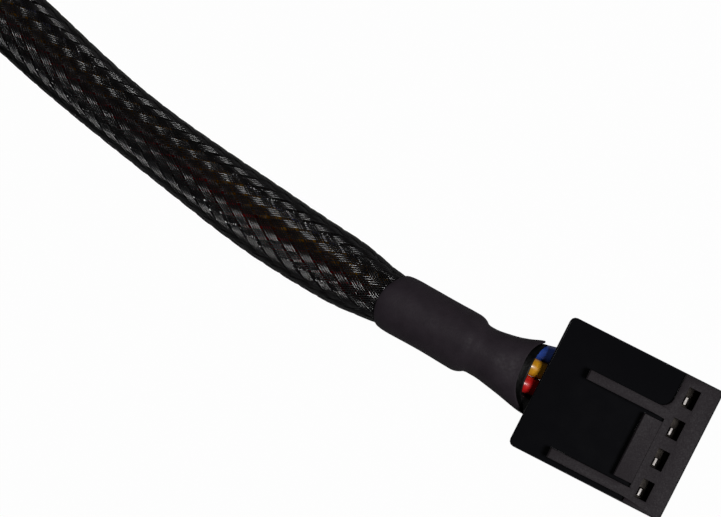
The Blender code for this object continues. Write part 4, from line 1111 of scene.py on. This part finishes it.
class FANCABLE_OT_stage(bpy.types.Operator):
    """Sets up the camera, the lamps, the surround and the floor"""

    bl_idname = "fan_cable.stage"
    bl_label = "Stage"

    def execute(self, context):
        settings = context.scene.fan_cable
        context.scene.view_settings.view_transform = "Standard"
        self.add_camera(context, settings)
        self.add_lamps(settings)
        self.set_surround(context, settings)
        self.add_floor()
        return {"FINISHED"}

    def add_camera(self, context, settings):
        bpy.ops.object.select_all(action="DESELECT")
        bpy.ops.object.camera_add()
        camera = context.object
        camera.name = "camera"
        tilt = settings.camera_tilt
        away = Vector((math.sin(tilt), 0.0, math.cos(tilt)))
        right = (PICTURE_RIGHT - away * PICTURE_RIGHT.dot(away)).normalized()
        up = away.cross(right)
        turn = Matrix((right, up, away)).transposed().to_4x4()
        place = Matrix.Translation(CAMERA_AIM + away * settings.camera_distance)
        camera.matrix_world = place @ turn
        camera.data.sensor_width = SENSOR_WIDTH
        camera.data.lens = SENSOR_WIDTH * settings.camera_distance / settings.picture_width
        camera.data.clip_start = NEAREST_SEEN
        camera.data.clip_end = FARTHEST_SEEN
        context.scene.camera = camera

    def add_lamps(self, settings):
        for name, ahead, sideways, long, short, power in LAMPS:
            bpy.ops.object.select_all(action="DESELECT")
            bpy.ops.object.light_add(type="AREA")
            lamp = bpy.context.object
            lamp.name = name
            lamp.data.shape = "RECTANGLE"
            lamp.data.size = long
            lamp.data.size_y = short
            lamp.data.energy = power * settings.light_level
            lamp.visible_camera = False
            turn = Matrix.Rotation(math.radians(ahead), 4, "Y")
            turn = turn @ Matrix.Rotation(-math.radians(sideways), 4, "X")
            away = Matrix.Translation((0, 0, LAMP_DISTANCE))
            lamp.matrix_world = Matrix.Translation(CAMERA_AIM) @ turn @ away

    def set_surround(self, context, settings):
        world = bpy.data.worlds.new("surround")
        world.use_nodes = True
        nodes = world.node_tree.nodes
        soft = white_light(nodes["Background"], settings.sky_level)
        plain = white_light(nodes.new("ShaderNodeBackground"), 1.0)
        seen = nodes.new("ShaderNodeLightPath").outputs["Is Camera Ray"]
        show_mixed(world.node_tree, seen, soft, plain, "World Output")
        context.scene.world = world

    def add_floor(self):
        bpy.ops.object.select_all(action="DESELECT")
        bpy.ops.mesh.primitive_plane_add(size=FLOOR_SIZE, location=(0.0, 0.0, FLOOR_HEIGHT))
        floor = bpy.context.object
        floor.name = "floor"
        floor.data.materials.append(floor_paint())


UNSHADED_ATTRIBUTE = "unshaded_share_of_colour"
WIRE_SIDES = 18
WIRE_RING_STEP = 0.00055
# A wire's own colour fades into painted shade in two parts, by the distance from its end in the
# plug: how much fades, where it is gone, and over what length. From its end in a socket it fades
# all at once
PLUG_FADES = ((0.3, 0.044, 0.010), (0.7, 0.0088, 0.0016))
SOCKET_FADE = (0.020, 0.005)


class FANCABLE_OT_wires(bpy.types.Operator):
    """Makes the insulated wires, from the plug through the splices to the two sockets"""

    bl_idname = "fan_cable.wires"
    bl_label = "Wires"

    def execute(self, context):
        settings = context.scene.fan_cable
        finishes = {
            name: insulation(name, colour) for name, colour in wire_colours(settings).items()
        }
        for colour, places in TRUNK_FORK_PLACES.items():
            points = trunk_wire_points(colour, places)
            self.add_wire("trunk_wire_" + colour, finishes[colour], points)
        speed = trunk_wire_points("yellow", YELLOW_FORK_PLACES)
        speed += branch_wire_points("a", "yellow", [])
        self.add_wire("speed_wire_yellow", finishes["yellow"], speed)
        for branch, side in SIDES.items():
            for colour, places in BRANCH_FORK_PLACES.items():
                places = [(at, side * across, up) for at, across, up in places]
                name = f"branch_{branch}_wire_{colour}"
                self.add_wire(name, finishes[colour], branch_wire_points(branch, colour, places))
        return {"FINISHED"}

    def unshaded_share(self, name, distance, length):
        """How much of its own colour a wire shows there, the rest being painted shade: all at a
        housing, some in the shown stretch of the trunk, and none deep in a braid."""
        share = 0.0
        if not name.startswith("branch"):
            for part, end, over in PLUG_FADES:
                share += part * eased((end - distance) / over)
        if not name.startswith("trunk"):
            end, over = SOCKET_FADE
            share = max(share, eased((distance - length + end) / over))
        return share

    def add_wire(self, name, finish, points):
        line = Route([tuple(point) for point in points])
        at = spaced(0.0, line.length, WIRE_RING_STEP)
        path = np.array([[line.read(distance)[:3] for distance in at]])
        corners = np.linspace(0.0, 2 * math.pi, WIRE_SIDES, endpoint=False)
        rings = rings_round(path, (0.0, 0.0, 1.0), INSULATION_RADIUS, corners)
        made = link(name + "_insulation", mesh_from_rings(name, rings, True), finish)
        # Painted shade: each point keeps this share of the wire's own colour
        shares = [self.unshaded_share(name, distance, line.length) for distance in at]
        shares = np.repeat(shares, WIRE_SIDES)
        made.data.attributes.new(UNSHADED_ATTRIBUTE, "FLOAT", "POINT").data.foreach_set("value", shares)
        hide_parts(name)


class FANCABLE_OT_heat_shrinks(bpy.types.Operator):
    """Makes the shrunk sleeving at the plug, the fork and the two sockets"""

    bl_idname = "fan_cable.heat_shrinks"
    bl_label = "Heat shrinks"

    def execute(self, context):
        settings = context.scene.fan_cable
        finish, lining = shrunk_sleeving(settings), hot_melt(settings)
        places = {"plug": self.behind(TRUNK, TRUNK_REAR, 1)}
        for branch, route in BRANCHES.items():
            places["branch_" + branch] = self.behind(route, branch_length(branch), -1)
        made = {}
        for number, (name, place) in enumerate(places.items()):
            seed = 1 + 2 * number
            given = (place, MOUTH_SHAPE, MOUTH_STEP, finish, seed)
            made[name] = shrink_tube(name + "_sleeving", *given)
            given = (place, LINING_SHAPE, MOUTH_STEP, lining, seed + 1, LINING_WALL)
            shrink_tube(name + "_lining", *given)
        place = self.behind(TRUNK, FORK_START, 1)
        made["fork"] = shrink_tube("fork_sleeving", place, FORK_SHAPE, FORK_STEP, finish, 7)
        for name, thing in made.items():
            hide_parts(name + "_heat_shrink")
        return {"FINISHED"}

    def behind(self, route, start, way):
        """A reader of places by their distance from a start, along a route (+1) or back (-1)."""

        def read(distance, across, up):
            return route.point(start + way * distance, across, up)

        return read


class FANCABLE_OT_moulded_parts(bpy.types.Operator):
    """Finishes the plug's and the sockets' housings"""

    bl_idname = "fan_cable.moulded_parts"
    bl_label = "Moulded housings"

    def execute(self, context):
        plastic = moulded_plastic(context.scene.fan_cable)
        for node in ("plug_housing", "branch_a_housing", "branch_b_housing"):
            name = node.replace("housing", "moulding")
            made = finished_copy(node, name, plastic, HOUSING_ROUNDING)
        return {"FINISHED"}


TANG_END = 0.00006
WORN_TIN = ((0.20, 0.185, 0.175), (0.34, 0.32, 0.31))
# Near-black bronze: painted shade in the contacts' windows
PAINTED_SHADE_BRONZE = ((0.014, 0.012, 0.011), (0.034, 0.030, 0.026))


class FANCABLE_OT_metal_parts(bpy.types.Operator):
    """Finishes the crimp terminals, the pins and the splices"""

    bl_idname = "fan_cable.metal_parts"
    bl_label = "Metal parts"

    def execute(self, context):
        tin = tinned_metal()
        dimmed = cloudy_metal("worn_tin", *WORN_TIN)
        # Near-black metal: painted shade on what shows of a contact in its window
        painted_shade_metal = cloudy_metal("cloudy_metal", *PAINTED_SHADE_BRONZE)
        for colour in COLOURS:
            node, name = "plug_terminal_" + colour, "contact_" + colour
            made = finished_copy(node, name, dimmed, METAL_ROUNDING, 1)
            self.paint_shade_below_tang(made, painted_shade_metal)
        for branch in BRANCHES:
            for colour in BUNDLE[branch]:
                node, name = f"branch_{branch}_pin_{colour}", f"pin_{branch}_{colour}"
                made = finished_copy(node, name, tin, METAL_ROUNDING, 1)
        for colour in TRUNK_FORK_PLACES:
            bpy.data.objects["splice_" + colour].material_slots[0].material = tin
        return {"FINISHED"}

    def paint_shade_below_tang(self, contact, painted_shade_metal):
        """Only the tang's end is bright in the window. The rest that shows there gets near-black
        metal: painted shade.
        """
        contact.data.materials.append(painted_shade_metal)
        top = max(vertex.co.z for vertex in contact.data.vertices)
        for face in contact.data.polygons:
            if top - TANG_RISE - TANG_END / 2 < face.center.z < top - TANG_END:
                face.material_index = 1


class FANCABLE_OT_tie(bpy.types.Operator):
    """Finishes the strap that holds the coil"""

    bl_idname = "fan_cable.tie"
    bl_label = "Tie"

    def execute(self, context):
        nylon = strap_plastic(context.scene.fan_cable)
        made = finished_copy("coil_tie", "strap", nylon, TIE_ROUNDING)
        return {"FINISHED"}


class FANCABLE_OT_braids(bpy.types.Operator):
    """Winds the three cables' braids"""

    bl_idname = "fan_cable.braids"
    bl_label = "Braids"

    def execute(self, context):
        settings = context.scene.fan_cable
        finish = filament_plastic(settings)
        made = self.wind_trunk(settings, finish)
        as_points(made["path"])
        for branch in BRANCHES:
            made = self.wind_branch(branch, settings, finish)
            branch_place(branch, 0.0)
            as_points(made["path"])
        return {"FINISHED"}

    def wind_trunk(self, settings, finish):
        start = TRUNK_SLEEVE_START + BRAID_SETBACK
        mouth = TRUNK_REAR + SHRINK_LENGTH - SHOWN_EARLY
        shown = TRUNK_REAR + SHOWN_LENGTH
        distances = [
            *spaced(start, mouth, HIDDEN_STEP)[:-1],
            *spaced(mouth, shown, SHOWN_STEP)[:-1],
            *spaced(shown, TRUNK_SLEEVE_END, TRUNK_STEP),
        ]
        frames = route_arrays(TRUNK.frame, distances)
        radii = [trunk_sleeve_radius(distance) for distance in distances]
        made = []
        carriers = settings.trunk_carriers
        for name, way in (("trunk_braid", 1), ("trunk_braid_crossing", -1)):
            thing = braid(name, frames, distances, radii, settings, carriers, (way,), finish)
            made.append(self.braided(thing, "trunk_sleeve", frames, distances))
        return made[0]

    def wind_branch(self, branch, settings, finish):
        end = branch_length(branch) - SLEEVE_SETBACK - BRAID_SETBACK
        distances = spaced(BRAID_SETBACK - FORK_GRIP, end, BRANCH_STEP)
        frames = route_arrays(lambda along: branch_frame(branch, along), distances)
        radii = [branch_sleeve_radius(branch, along) for along in distances]
        name = f"branch_{branch}_braid"
        carriers = settings.branch_carriers
        thing = braid(name, frames, distances, radii, settings, carriers, (1, -1), finish)
        return self.braided(thing, f"branch_{branch}_sleeve", frames, distances)

    def braided(self, thing, node, frames, distances):
        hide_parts(node)
        return {"thing": thing, "length": distances[-1] - distances[0], "path": frames[0].tolist()}


OPERATORS = (
    FANCABLE_OT_stage,
    FANCABLE_OT_wires,
    FANCABLE_OT_heat_shrinks,
    FANCABLE_OT_moulded_parts,
    FANCABLE_OT_metal_parts,
    FANCABLE_OT_tie,
    FANCABLE_OT_braids,
)


class FANCABLE_PT_panel(bpy.types.Panel):
    bl_idname = "FANCABLE_PT_panel"
    bl_label = "Fan Splitter Cable"
    bl_space_type = "VIEW_3D"
    bl_region_type = "UI"
    bl_category = "Fan Cable"

    def draw(self, context):
        for name in FanCableSettings.__annotations__:
            self.layout.prop(context.scene.fan_cable, name)
        for operator in OPERATORS:
            self.layout.operator(operator.bl_idname)


CLASSES = (FanCableSettings, *OPERATORS, FANCABLE_PT_panel)


def register():
    for made in CLASSES:
        bpy.utils.register_class(made)
    bpy.types.Scene.fan_cable = bpy.props.PointerProperty(type=FanCableSettings)


def unregister():
    del bpy.types.Scene.fan_cable
    for made in reversed(CLASSES):
        bpy.utils.unregister_class(made)


def main():
    register()
    bpy.ops.fan_cable.stage()
    bpy.ops.fan_cable.wires()
    bpy.ops.fan_cable.heat_shrinks()
    bpy.ops.fan_cable.moulded_parts()
    bpy.ops.fan_cable.metal_parts()
    bpy.ops.fan_cable.tie()
    bpy.ops.fan_cable.braids()


if __name__ == "__main__":
    main()
